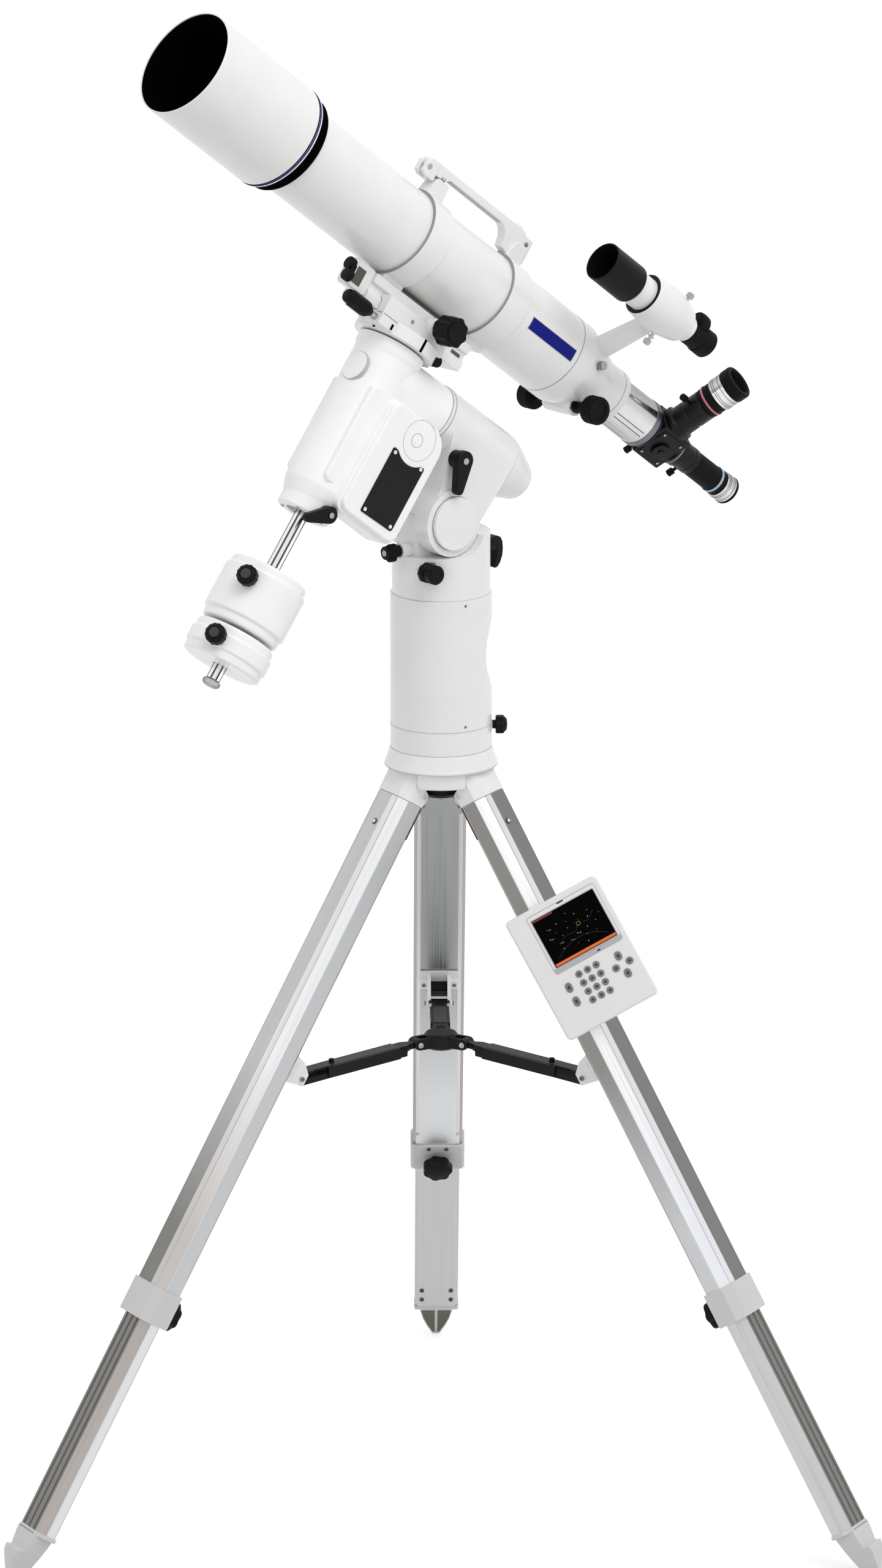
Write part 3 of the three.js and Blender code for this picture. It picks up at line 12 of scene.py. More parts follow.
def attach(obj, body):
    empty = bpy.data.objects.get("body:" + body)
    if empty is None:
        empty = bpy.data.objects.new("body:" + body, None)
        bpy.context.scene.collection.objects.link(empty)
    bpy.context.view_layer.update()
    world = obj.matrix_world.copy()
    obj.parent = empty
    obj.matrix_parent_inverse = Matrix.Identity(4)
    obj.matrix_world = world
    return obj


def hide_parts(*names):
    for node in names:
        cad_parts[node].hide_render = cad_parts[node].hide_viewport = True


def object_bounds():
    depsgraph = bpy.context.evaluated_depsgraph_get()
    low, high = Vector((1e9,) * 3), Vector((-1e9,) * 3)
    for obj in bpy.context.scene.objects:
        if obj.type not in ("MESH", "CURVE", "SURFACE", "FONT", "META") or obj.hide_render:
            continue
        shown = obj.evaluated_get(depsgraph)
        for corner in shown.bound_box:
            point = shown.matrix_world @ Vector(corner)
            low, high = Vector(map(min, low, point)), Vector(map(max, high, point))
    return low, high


bl_info = {
    "name": "Telescope on tripod",
    "version": (1, 0, 0),
    "blender": (4, 5, 0),
    "location": "View3D > Sidebar > Telescope",
    "description": "Models the finished surfaces of a refractor telescope round its frame",
    "category": "Object",
}

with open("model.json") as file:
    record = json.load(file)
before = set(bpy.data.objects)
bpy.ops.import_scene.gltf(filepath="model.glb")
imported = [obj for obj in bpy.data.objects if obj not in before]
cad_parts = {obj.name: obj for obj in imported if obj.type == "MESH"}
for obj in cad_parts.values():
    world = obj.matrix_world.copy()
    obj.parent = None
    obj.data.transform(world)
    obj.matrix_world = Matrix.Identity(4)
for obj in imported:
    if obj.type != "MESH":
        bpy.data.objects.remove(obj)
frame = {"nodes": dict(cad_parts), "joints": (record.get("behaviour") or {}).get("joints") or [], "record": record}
CAD_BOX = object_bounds()
MM = 0.001
SHARP = math.radians(28)
CREASE = math.radians(45)
FLAT = math.radians(0.5)
WELD = 0.001
JOINTS = {joint["name"]: joint for joint in frame["joints"]}
NODE_BODY = {
    node: body for body, nodes in frame["record"]["behaviour"]["bodies"].items() for node in nodes
}
SIDES = ("left", "right", "rear")


# ---------------------------------------------------------------- places


def pivot(name):
    return Vector(JOINTS[name]["pos_m"])


def direction(name):
    return Vector(JOINTS[name]["axis"]).normalized()


def place(origin, x_axis, z_axis):
    """A local frame in millimetres, with the given origin and axes."""
    z = z_axis.normalized()
    y = z.cross(x_axis).normalized()
    x = y.cross(z)
    turn = Matrix((x, y, z)).transposed().to_4x4()
    return Matrix.Translation(origin) @ turn @ Matrix.Scale(MM, 4)


def shift(x=0, y=0, z=0):
    return Matrix.Translation((x, y, z))


def turned(degrees, axis="Z"):
    return Matrix.Rotation(math.radians(degrees), 4, axis)


UP = Vector((0, 0, 1))
TUBE = place(pivot("tube_turn_in_rings"), direction("declination_turn"), direction("tube_turn_in_rings"))
POLAR = place(pivot("latitude_tilt"), direction("declination_turn"), direction("right_ascension_turn"))
UPRIGHT = place(pivot("latitude_tilt"), direction("latitude_tilt").cross(UP), UP)
STAND = place(pivot("azimuth_turn"), Vector((1, 0, 0)), UP)
LEG = {
    side: place(pivot(f"leg_fold_{side}"), direction(f"leg_fold_{side}"), -direction(f"leg_slide_{side}"))
    for side in SIDES
}

FINDER_ANGLE = 49.3
MIRROR_ANGLE = 42
MIRROR_HEIGHT = -500.5
TOP_HOLDER_REACH = 86
REAR_HOLDER_END = -574
SIGHT = TUBE @ turned(-FINDER_ANGLE)
MIRROR = TUBE @ turned(-MIRROR_ANGLE)
TOP_HOLDER = MIRROR @ shift(TOP_HOLDER_REACH, 0, MIRROR_HEIGHT) @ turned(90, "Y")
REAR_HOLDER = MIRROR @ shift(0, 0, REAR_HOLDER_END) @ turned(180, "X")

AZIMUTHS = {"left": -150, "right": -30, "rear": 90}
HUB_REACH, HUB_HEIGHT = 40, 674
ARM_REACH, ARM_RISE = 196, -17
ARM_LENGTH = math.hypot(ARM_REACH, ARM_RISE)


def facing(azimuth):
    """The tripod's frame, turned so that +Y points away from its axis at the azimuth."""
    return STAND @ turned(azimuth - 90)


ARM = {
    side: facing(azimuth) @ shift(0, HUB_REACH, HUB_HEIGHT)
    @ Matrix.Rotation(math.atan2(ARM_RISE, ARM_REACH), 4, "X")
    for side, azimuth in AZIMUTHS.items()
}
CONTROLLER_SPOT = (194, -181, 846)
CONTROLLER_DEPTH, CONTROLLER_LEAN, CONTROLLER_TURN = 28, 75.6, 28.6
FACE = (
    STAND @ shift(*CONTROLLER_SPOT) @ turned(CONTROLLER_LEAN, "X")
    @ shift(0, 0, -CONTROLLER_DEPTH) @ turned(CONTROLLER_TURN)
)
BACK = FACE @ turned(-90, "X")

TUBE_RADIUS = 62.5
SHIELD_RADIUS = 77
FOCUS_AXLE = (-47, 0, -315)
SIGHT_LINE = (169, 0, 0)
DEC_AXLE_SPOT = (-178.85, 0, 0)
POLAR_SCOPE = (114.6, 0, 0)


# ---------------------------------------------------------------- shapes


def soften(shape, width, steps=2):
    """Rounds the shape's sharp edges."""
    edges = [
        edge for edge in shape.edges if len(edge.link_faces) == 2 and edge.calc_face_angle(0) > SHARP
    ]
    if width > 0 and edges:
        bmesh.ops.bevel(
            shape, geom=edges, offset=width, offset_type="OFFSET", segments=steps, profile=0.5,
            affect="EDGES", clamp_overlap=True, material=-1,
        )
    return shape


def tidy(shape):
    bmesh.ops.remove_doubles(shape, verts=shape.verts, dist=WELD)
    bmesh.ops.recalc_face_normals(shape, faces=shape.faces)
    return shape


def turn_to(axis):
    """The turn that brings +Z onto the named axis, keeping the shape's handedness."""
    return {
        "z": Matrix(),
        "x": Matrix(((0, 0, 1, 0), (1, 0, 0, 0), (0, 1, 0, 0), (0, 0, 0, 1))),
        "y": Matrix(((0, 1, 0, 0), (0, 0, 1, 0), (1, 0, 0, 0), (0, 0, 0, 1))),
    }[axis]


def moved(shape, matrix):
    bmesh.ops.transform(shape, matrix=matrix, verts=shape.verts)
    return shape


def lathe(axis, profile, edge=0.4, segments=64, centre=(0, 0, 0), steps=2):
    """A turned shape: the profile is (radius, along) points, closed on itself or ending on the axis."""
    shape = bmesh.new()
    points = [shape.verts.new((radius, 0, along)) for radius, along in profile]
    for first, second in zip(points, points[1:]):
        shape.edges.new((first, second))
    if profile[0][0] > 0 or profile[-1][0] > 0:
        shape.edges.new((points[-1], points[0]))
    bmesh.ops.spin(
        shape, geom=list(shape.verts) + list(shape.edges), cent=(0, 0, 0), axis=(0, 0, 1),
        angle=2 * math.pi, steps=segments, use_merge=True, use_duplicate=False,
    )
    tidy(shape)
    soften(shape, edge, steps)
    return moved(shape, shift(*centre) @ turn_to(axis))


def rod(axis, radius, low, high, edge=0.4, segments=40, centre=(0, 0, 0)):
    return lathe(axis, [(0, low), (radius, low), (radius, high), (0, high)], edge, segments, centre)


def ring(axis, inner, outer, low, high, edge=0.3, segments=64, centre=(0, 0, 0)):
    profile = [(inner, low), (outer, low), (outer, high), (inner, high)]
    return lathe(axis, profile, edge, segments, centre)


def slab(axis, outline, low, high, edge=0.6, steps=2):
    """An outline pushed along an axis; its points are the other two coordinates, in X, Y, Z order."""
    spot = {
        "x": lambda a, b: (low, a, b),
        "y": lambda a, b: (a, low, b),
        "z": lambda a, b: (a, b, low),
    }[axis]
    shape = bmesh.new()
    face = shape.faces.new([shape.verts.new(spot(a, b)) for a, b in outline])
    grown = bmesh.ops.extrude_face_region(shape, geom=[face])
    tips = [item for item in grown["geom"] if isinstance(item, bmesh.types.BMVert)]
    step = Vector([high - low if name == axis else 0 for name in "xyz"])
    bmesh.ops.translate(shape, vec=step, verts=tips)
    bmesh.ops.recalc_face_normals(shape, faces=shape.faces)
    return soften(shape, edge, steps)


def bisect(shape, spot, normal):
    """Cuts away what lies beyond a plane and leaves the cut open."""
    everything = [*shape.verts, *shape.edges, *shape.faces]
    return bmesh.ops.bisect_plane(
        shape, geom=everything, plane_co=spot, plane_no=normal, clear_outer=True, dist=WELD,
    )


def trim(shape, spot, normal):
    """Cuts away what lies beyond a plane and closes the cut."""
    done = bisect(shape, spot, normal)
    rim = [item for item in done["geom_cut"] if isinstance(item, bmesh.types.BMEdge)]
    bmesh.ops.edgeloop_fill(shape, edges=rim)
    bmesh.ops.recalc_face_normals(shape, faces=shape.faces)
    return shape


def block(x, y, z, edge=0.6, steps=2):
    """A box from its (low, high) spans."""
    shape = bmesh.new()
    size = Matrix.Diagonal((x[1] - x[0], y[1] - y[0], z[1] - z[0], 1))
    middle = Vector((x[0] + x[1], y[0] + y[1], z[0] + z[1])) / 2
    bmesh.ops.create_cube(shape, size=1, matrix=Matrix.Translation(middle) @ size)
    return soften(shape, edge, steps)


def joined(*shapes):
    whole = bmesh.new()
    for shape in shapes:
        mesh = bpy.data.meshes.new("shape")
        shape.to_mesh(mesh)
        shape.free()
        whole.from_mesh(mesh)
        bpy.data.meshes.remove(mesh)
    return whole


def arc(centre, radius, start, end, count):
    """Points of an arc, from one angle to another in degrees."""
    angles = [math.radians(start + (end - start) * i / (count - 1)) for i in range(count)]
    return [(centre[0] + radius * math.cos(a), centre[1] + radius * math.sin(a)) for a in angles]


def rounded(half_width, half_height, radius, centre=(0, 0), count=5):
    outline = []
    for turn, (x, y) in enumerate(((1, 1), (-1, 1), (-1, -1), (1, -1))):
        corner = (centre[0] + x * (half_width - radius), centre[1] + y * (half_height - radius))
        outline += arc(corner, radius, 90 * turn, 90 * turn + 90, count)
    return outline


def lobed(radius, lobes, depth, count=6):
    """A knob's outline: round lobes with hollows between them."""
    outline = []
    for i in range(lobes * count):
        turn = 2 * math.pi * i / (lobes * count)
        reach = radius - depth * (1 - math.cos(lobes * turn)) / 2
        outline.append((reach * math.cos(turn), reach * math.sin(turn)))
    return outline


def ribbed(radius, ribs, depth):
    """A grip's outline: square ribs with grooves between them."""
    outline = []
    for i in range(ribs):
        for share, reach in ((0.08, radius), (0.52, radius), (0.62, radius - depth), (0.98, radius - depth)):
            turn = 2 * math.pi * (i + share) / ribs
            outline.append((reach * math.cos(turn), reach * math.sin(turn)))
    return outline


def shifted(shape, x=0, y=0, z=0):
    return moved(shape, shift(x, y, z))


def mirrored(points, x=-1, y=1):
    """An outline's points, followed by their mirror images in reverse."""
    return points + [(x * a, y * b) for a, b in reversed(points)]


def screw(axis, seat, height, radius, centre=(0, 0, 0)):
    """A socket-head screw that stands on its seat; a negative height points it the other way."""
    socket = radius * 0.5
    profile = [
        (0, seat), (radius, seat), (radius, seat + height), (socket, seat + height),
        (socket, seat + height * 0.4), (0, seat + height * 0.4),
    ]
    return lathe(axis, profile, min(0.3, radius * 0.1), 16, centre, 1)


def wrap(inner, outer, start, end, low, high, edge=0.2, count=9):
    """A curved plate round the Z axis, between two angles in degrees."""
    outline = arc((0, 0), outer, start, end, count) + arc((0, 0), inner, end, start, count)
    return slab("z", outline, low, high, edge, 1)


def teardrop(centre, hub, tip, length, angle):
    """A lever's outline: a hub circle and a smaller tip circle, joined by straight sides."""
    side = math.degrees(math.acos((hub - tip) / length))
    lean = math.radians(angle)
    end = (centre[0] + length * math.cos(lean), centre[1] + length * math.sin(lean))
    hub_arc = arc(centre, hub, angle + side, angle + 360 - side, 24)
    return hub_arc + arc(end, tip, angle - side, angle + side, 10)


def make_piece(name, shape, finish, body, where, replaces=None):
    """Turns a shape in a local frame into a finished piece that rides on a body."""
    mesh = bpy.data.meshes.new(name)
    shape.to_mesh(mesh)
    shape.free()
    local = mesh.attributes.new("local", "FLOAT_VECTOR", "POINT")
    for vertex, item in zip(mesh.vertices, local.data):
        item.vector = vertex.co
    mesh.transform(where)
    mesh.shade_smooth()
    mesh.set_sharp_from_angle(angle=CREASE)
    mesh.materials.append(FINISH[finish])
    piece = bpy.data.objects.new(name, mesh)
    bpy.context.scene.collection.objects.link(piece)
    normals = piece.modifiers.new("Normals", "WEIGHTED_NORMAL")
    normals.keep_sharp = True
    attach(piece, body)
    if replaces:
        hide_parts(replaces)
    return piece


def shape_of(node, where, low=None, high=None):
    """A merged copy of a frame node, or of its stretch between two heights of a local frame."""
    shape = bmesh.new()
    shape.from_mesh(frame["nodes"][node].data)
    moved(shape, where.inverted())
    bmesh.ops.remove_doubles(shape, verts=shape.verts, dist=10 * WELD)
    for level, side in ((low, -1), (high, 1)):
        if level is not None:
            bisect(shape, (0, 0, level), (0, 0, side))
    bmesh.ops.dissolve_limit(
        shape, angle_limit=FLAT, verts=shape.verts, edges=shape.edges, delimit=set(),
    )
    return shape


def refine(node, finish, where, edge=0.8, steps=2, name=None):
    """A merged copy of a frame node with rounded edges, which stands for the node."""
    shape = soften(shape_of(node, where), edge, steps)
    name = name or f"{node}_surface"
    return make_piece(name, shape, finish, NODE_BODY[node], where, node)


def strip(start, end, low, high, lift=0.15, inset=0.0):
    """A thin facing along Z on a flat side, between two (x, y) points with the outside on their right."""
    along = Vector((end[0] - start[0], end[1] - start[1])).normalized()
    out = Vector((along.y, -along.x)) * lift
    first, last = Vector(start) + along * inset, Vector(end) - along * inset
    return slab("z", [first, last, last + out, first + out], low, high, 0)


def strips(start, end, low, high, lift=0.15, inset=0.0):
    """The same thin facing on both sides of the middle plane."""
    (x, y), (next_x, next_y) = start, end
    return [
        strip(start, end, low, high, lift, inset),
        strip((-next_x, next_y), (-x, y), low, high, lift, inset),
    ]


FINISH = {}


def fitter(body, where):
    """A function that adds finished pieces to one body, drawn in one local frame."""

    def fit(name, finish, *shapes, at=None, replaces=None):
        if at is not None:
            shapes = [moved(shape, at) for shape in shapes]
        return make_piece(name, joined(*shapes), finish, body, where, replaces)

    return fit


# ---------------------------------------------------------------- finishes


RELIEF_DEPTH = 0.0002
LOW_START, LOW_FULL = -420, -680


def new_finish(name, colour, roughness, metallic=0.0):
    """A material with its shader and the piece's own coordinates, in millimetres."""
    material = bpy.data.materials.new(name)
    material.use_nodes = True
    nodes, links = material.node_tree.nodes, material.node_tree.links
    shader = nodes["Principled BSDF"]
    shader.inputs["Base Color"].default_value = (*colour, 1)
    shader.inputs["Roughness"].default_value = roughness
    shader.inputs["Metallic"].default_value = metallic
    local = nodes.new("ShaderNodeAttribute")
    local.attribute_name = "local"
    return material, nodes, links, shader, local.outputs["Vector"]


def pattern(nodes, links, local, scale, stretch=(1, 1, 1), detail=3.0):
    """Noise in the piece's own coordinates; the stretch scales each axis."""
    mapping = nodes.new("ShaderNodeMapping")
    mapping.inputs["Scale"].default_value = stretch
    noise = nodes.new("ShaderNodeTexNoise")
    noise.inputs["Scale"].default_value = scale
    noise.inputs["Detail"].default_value = detail
    links.new(local, mapping.inputs["Vector"])
    links.new(mapping.outputs["Vector"], noise.inputs["Vector"])
    return noise.outputs["Fac"]


def spread(nodes, links, value, low, high):
    """Maps a noise value onto a range."""
    mapped = nodes.new("ShaderNodeMapRange")
    mapped.inputs["From Min"].default_value = 0.3
    mapped.inputs["From Max"].default_value = 0.7
    mapped.inputs["To Min"].default_value = low
    mapped.inputs["To Max"].default_value = high
    links.new(value, mapped.inputs["Value"])
    return mapped.outputs["Result"]


def tint(nodes, links, shader, value, dark, light):
    mix = nodes.new("ShaderNodeMix")
    mix.data_type = "RGBA"
    mix.inputs["A"].default_value = (*dark, 1)
    mix.inputs["B"].default_value = (*light, 1)
    links.new(value, mix.inputs["Factor"])
    links.new(mix.outputs["Result"], shader.inputs["Base Color"])


def emboss(nodes, links, shader, value, strength):
    bump = nodes.new("ShaderNodeBump")
    bump.inputs["Strength"].default_value = strength
    bump.inputs["Distance"].default_value = RELIEF_DEPTH
    links.new(value, bump.inputs["Height"])
    links.new(bump.outputs["Normal"], shader.inputs["Normal"])


def shade(colour, factor):
    return tuple(channel * factor for channel in colour)


def painted(name, colour, roughness=0.32, grain=0.9, relief=0.06, coat=0.25, gloss=0.5):
    """Enamel on metal: a fine orange peel, slight cloudiness and a thin clear coat."""
    material, nodes, links, shader, local = new_finish(name, colour, roughness)
    cloud = pattern(nodes, links, local, 0.018, detail=2)
    tint(nodes, links, shader, spread(nodes, links, cloud, 0, 1), shade(colour, 0.965), colour)
    peel = pattern(nodes, links, local, grain, detail=2)
    links.new(spread(nodes, links, peel, roughness - 0.04, roughness + 0.06), shader.inputs["Roughness"])
    emboss(nodes, links, shader, peel, relief)
    shader.inputs["Coat Weight"].default_value = coat
    shader.inputs["Coat Roughness"].default_value = 0.12
    shader.inputs["Specular IOR Level"].default_value = gloss
    return material


def change_down(nodes, links, shader, local, low):
    """Lets a low colour take over further down the piece."""
    parts = nodes.new("ShaderNodeSeparateXYZ")
    links.new(local, parts.inputs["Vector"])
    depth = nodes.new("ShaderNodeMapRange")
    for socket, value in (("From Min", LOW_FULL), ("From Max", LOW_START), ("To Min", 0), ("To Max", 1)):
        depth.inputs[socket].default_value = value
    links.new(parts.outputs["Z"], depth.inputs["Value"])
    blend = nodes.new("ShaderNodeMix")
    blend.data_type = "RGBA"
    blend.inputs["A"].default_value = (*low, 1)
    links.new(depth.outputs["Result"], blend.inputs["Factor"])
    links.new(shader.inputs["Base Color"].links[0].from_socket, blend.inputs["B"])
    links.new(blend.outputs["Result"], shader.inputs["Base Color"])


def drawn_metal(
    name, colour, roughness=0.3, streak=0.6, along=(1, 1, 0.006), relief=0.08, rim=0.85, low=None,
):
    """Extruded or drawn metal, with fine streaks along the piece's own Z and painted shade on the sides that turn
    away from the eye.

    A low colour takes over further down the piece.
    """
    material, nodes, links, shader, local = new_finish(name, colour, roughness, 1.0)
    lines = pattern(nodes, links, local, streak, along, detail=4)
    # painted shade: the colour darkens by up to the rim's share where the surface turns away from the eye
    facing = nodes.new("ShaderNodeLayerWeight")
    facing.inputs["Blend"].default_value = 0.45
    painted_turn_shade = nodes.new("ShaderNodeMath")
    painted_turn_shade.operation = "MULTIPLY_ADD"
    links.new(facing.outputs["Facing"], painted_turn_shade.inputs[0])
    painted_turn_shade.inputs[1].default_value = -rim
    links.new(spread(nodes, links, lines, 0.86, 1), painted_turn_shade.inputs[2])
    tint(nodes, links, shader, painted_turn_shade.outputs["Value"], shade(colour, 0.12), colour)
    if low:
        change_down(nodes, links, shader, local, low)
    links.new(spread(nodes, links, lines, roughness - 0.05, roughness + 0.09), shader.inputs["Roughness"])
    emboss(nodes, links, shader, lines, relief)
    return material


def painted_reflection_metal(name, bands, roughness=0.14):
    """Polished metal with painted reflections: dark and light stops painted into its colour as it turns away from
    the eye.
    """
    material, nodes, links, shader, local = new_finish(name, (0.8, 0.8, 0.8), roughness, 1.0)
    facing = nodes.new("ShaderNodeLayerWeight")
    facing.inputs["Blend"].default_value = 0.5
    ramp = nodes.new("ShaderNodeValToRGB")
    stops = ramp.color_ramp.elements
    while len(stops) < len(bands):
        stops.new(0.5)
    for stop, (spot, level) in zip(stops, bands):
        stop.position = spot
        stop.color = (level, level, level, 1)
    links.new(facing.outputs["Facing"], ramp.inputs["Fac"])
    links.new(ramp.outputs["Color"], shader.inputs["Base Color"])
    wear = pattern(nodes, links, local, 1.2, detail=3)
    links.new(spread(nodes, links, wear, roughness - 0.03, roughness + 0.08), shader.inputs["Roughness"])
    return material


def moulded(name, colour, roughness=0.45, grain=1.6, relief=0.25, gloss=0.5):
    """Moulded plastic or rubber with a fine spark texture."""
    material, nodes, links, shader, local = new_finish(name, colour, roughness)
    spark = pattern(nodes, links, local, grain, detail=3)
    tint(nodes, links, shader, spread(nodes, links, spark, 0, 1), shade(colour, 0.8), shade(colour, 1.15))
    links.new(spread(nodes, links, spark, roughness - 0.06, roughness + 0.08), shader.inputs["Roughness"])
    emboss(nodes, links, shader, spark, relief)
    shader.inputs["Specular IOR Level"].default_value = gloss
    return material


def coated_glass(name, colour):
    material, nodes, links, shader, local = new_finish(name, colour, 0.02)
    shader.inputs["Coat Weight"].default_value = 1.0
    shader.inputs["Coat Tint"].default_value = (0.7, 0.85, 0.75, 1)
    smear = pattern(nodes, links, local, 0.05, detail=2)
    links.new(spread(nodes, links, smear, 0.02, 0.05), shader.inputs["Roughness"])
    return material


def lit(name, colour, level):
    """A lit mark on a display."""
    material, nodes, links, shader, local = new_finish(name, shade(colour, 0.1), 0.5)
    shader.inputs["Emission Color"].default_value = (*colour, 1)
    flicker = pattern(nodes, links, local, 0.4, detail=2)
    links.new(spread(nodes, links, flicker, level * 0.85, level * 1.1), shader.inputs["Emission Strength"])
    return material


# painted reflections on the counterweight bar: (facing, grey level) stops of dark and light bands
PAINTED_BAR_REFLECTIONS = (
    (0, 0.8), (0.035, 0.8), (0.06, 0.07), (0.13, 0.07), (0.18, 0.9), (0.48, 0.85), (0.58, 0.06), (1, 0.05),
)


def make_finishes(look):
    white, silver, black = tuple(look.white), tuple(look.silver), tuple(look.black)
    FINISH.update(
        white=painted("white_enamel", white),
        # painted highlight: a lighter copy of the white enamel stands for the light on the declination body
        snow=painted("painted_highlight_casting", shade(white, 1.14), 0.4, 0.7, 0.06, 0.1),
        cast=painted("grey_casting", shade(white, 0.74), 0.4, 0.7, 0.08, 0.1),
        faint=painted("faint_seam", (0.50, 0.51, 0.52), 0.6, coat=0),
        seam=painted("seam_shadow", (0.30, 0.31, 0.32), 0.6, coat=0),
        blue=painted("blue_enamel", tuple(look.accent), 0.5, coat=0, gloss=0.12),
        # every drawn metal finish below carries painted shade on the sides that turn away from the eye
        leg=drawn_metal("anodised_leg", silver, 0.34, rim=0.5),
        chrome=drawn_metal("polished_tube", (0.80, 0.80, 0.80), 0.14, 1.2, (1, 1, 0.02), 0.02, 0.95),
        mirror=painted_reflection_metal("polished_bar_painted_reflections", PAINTED_BAR_REFLECTIONS),
        steel=drawn_metal("bright_steel", (0.52, 0.52, 0.51), 0.25, 1.0, (1, 1, 0.02), 0.05, 0.95),
        grey=drawn_metal("turned_alloy", (0.22, 0.23, 0.27), 0.35, 1.0, (0.02, 0.02, 1), 0.1, 0.8),
        black=moulded("black_moulding", black, 0.4, gloss=0.12),
        knob=moulded("black_knob", shade(black, 0.8), 0.45, gloss=0.10),
        rubber=moulded("black_rubber", shade(black, 0.7), 0.6, 2.2, 0.4, gloss=0.10),
        anodised=moulded("black_anodised", shade(black, 0.7), 0.34, 3.0, 0.08, gloss=0.18),
        arm=moulded("dark_arm", shade(black, 1.2), 0.4, 1.2, 0.1, gloss=0.16),
        matt=moulded("matt_lining", (0.001, 0.001, 0.001), 0.9, 1.2, 0.3, gloss=0.02),
        plastic=painted("white_plastic", shade(white, 0.94), 0.42, 0.9, 0.05, 0),
        glass=coated_glass("lens_coating", (0.012, 0.02, 0.03)),
        # painted highlight: a lighter copy of the white enamel stands for the light on the counterweights
        iron=painted("white_iron", shade(white, 1.12), 0.36, 0.7, 0.12),
        # painted highlight and shade: the next seven finishes are lit and shaded copies of the leg metal for the
        # legs' faces, with another colour further down
        bright=drawn_metal("painted_highlight_band", (0.88, 0.89, 0.90), 0.28, rim=0.3, low=(0.56, 0.52, 0.50)),
        dull=drawn_metal("painted_shade_dark_face", (0.28, 0.27, 0.26), 0.4, rim=0.35),
        mid=drawn_metal("painted_shade_side", (0.53, 0.54, 0.55), 0.4, rim=0.3),
        shine=drawn_metal("painted_highlight_band_right_rear", (0.88, 0.89, 0.90), 0.28, rim=0.3, low=(0.78, 0.79, 0.83)),
        flank=drawn_metal("painted_shade_flank", (0.28, 0.27, 0.26), 0.4, rim=0.35, low=(0.50, 0.51, 0.52)),
        outer=drawn_metal("painted_shade_outer_face", (0.64, 0.65, 0.66), 0.4, rim=0.3, low=(0.22, 0.22, 0.21)),
        inside=drawn_metal("painted_shade_inner_face", (0.42, 0.43, 0.43), 0.4, rim=0.3, low=(0.62, 0.63, 0.64)),
        lower=drawn_metal("satin_lower_tube", (0.56, 0.56, 0.57), 0.36, rim=0.3),
        olive=moulded("olive_shadow", (0.14, 0.14, 0.12), 0.7, gloss=0.1),
        hollow=moulded("painted_hollow_shade", (0.15, 0.155, 0.115), 0.6, 1.2, 0.2, gloss=0.2),
        # painted shade: a darker copy of the leg metal for the thin lines along the upper legs and the left lower
        # leg's bands
        warm=drawn_metal("painted_shade_band", (0.46, 0.42, 0.40), 0.36, rim=0.35),
        groove=moulded("groove_shadow", (0.10, 0.10, 0.09), 0.6, gloss=0.2),
        keys=moulded("grey_keys", (0.20, 0.20, 0.20), 0.5, gloss=0.3),
        legend=moulded("key_centres", (0.05, 0.05, 0.05), 0.5, gloss=0.2),
        bezel=moulded("grey_bezel", (0.46, 0.46, 0.47), 0.4, gloss=0.4),
        screen=moulded("screen", (0.001, 0.001, 0.001), 0.4, gloss=0.02),
        orange=lit("screen_orange", (0.85, 0.15, 0.012), 0.75),
        red=lit("screen_red", (0.28, 0.008, 0.012), 0.6),
        star=lit("screen_star", (0.40, 0.42, 0.30), 0.6),
        dim=lit("screen_line", (0.03, 0.035, 0.03), 0.6),
        lime=lit("screen_mark", (0.30, 0.30, 0.04), 0.6),
        pink=painted("pink_mark", (0.55, 0.16, 0.2), 0.4, coat=0),
        sky=painted("sky_mark", (0.35, 0.5, 0.62), 0.4, coat=0),
    )


# ---------------------------------------------------------------- settings


class TELESCOPE_PG_look(bpy.types.PropertyGroup):
    white: FloatVectorProperty(
        name="White enamel", description="Colour of the painted metal", subtype="COLOR",
        default=(0.84, 0.84, 0.835), min=0, max=1,
    )
    silver: FloatVectorProperty(
        name="Leg metal", description="Colour of the anodised legs", subtype="COLOR",
        default=(0.72, 0.72, 0.73), min=0, max=1,
    )
    black: FloatVectorProperty(
        name="Black parts", description="Colour of the knobs and mouldings", subtype="COLOR",
        default=(0.0055, 0.0055, 0.006), min=0, max=1,
    )
    accent: FloatVectorProperty(
        name="Accent", description="Colour of the thin band and the blank label", subtype="COLOR",
        default=(0.004, 0.010, 0.20), min=0, max=1,
    )


class TELESCOPE_PG_stage(bpy.types.PropertyGroup):
    camera_distance: FloatProperty(
        name="Camera distance", description="From the tripod's axis, along the floor",
        default=9.5364, unit="LENGTH", min=1,
    )
    camera_height: FloatProperty(
        name="Camera height", description="Above the floor", default=3.5574, unit="LENGTH", min=0,
    )
    camera_bearing: FloatProperty(
        name="Camera bearing", description="Round the tripod's axis",
        default=math.radians(-0.658), subtype="ANGLE",
    )
    camera_tilt: FloatProperty(
        name="Camera tilt", description="Below the horizon",
        default=math.radians(14.752), subtype="ANGLE",
    )
    lens: FloatProperty(
        name="Lens", description="Focal length for a sensor 24 mm high", default=108.02, min=10,
    )
    floor_size: FloatProperty(
        name="Floor size", description="Side of the floor", default=120.0, unit="LENGTH", min=1,
    )


# ---------------------------------------------------------------- pieces


class TelescopeOperator(bpy.types.Operator):
    """A step that can be undone"""

    bl_options = {"REGISTER", "UNDO"}


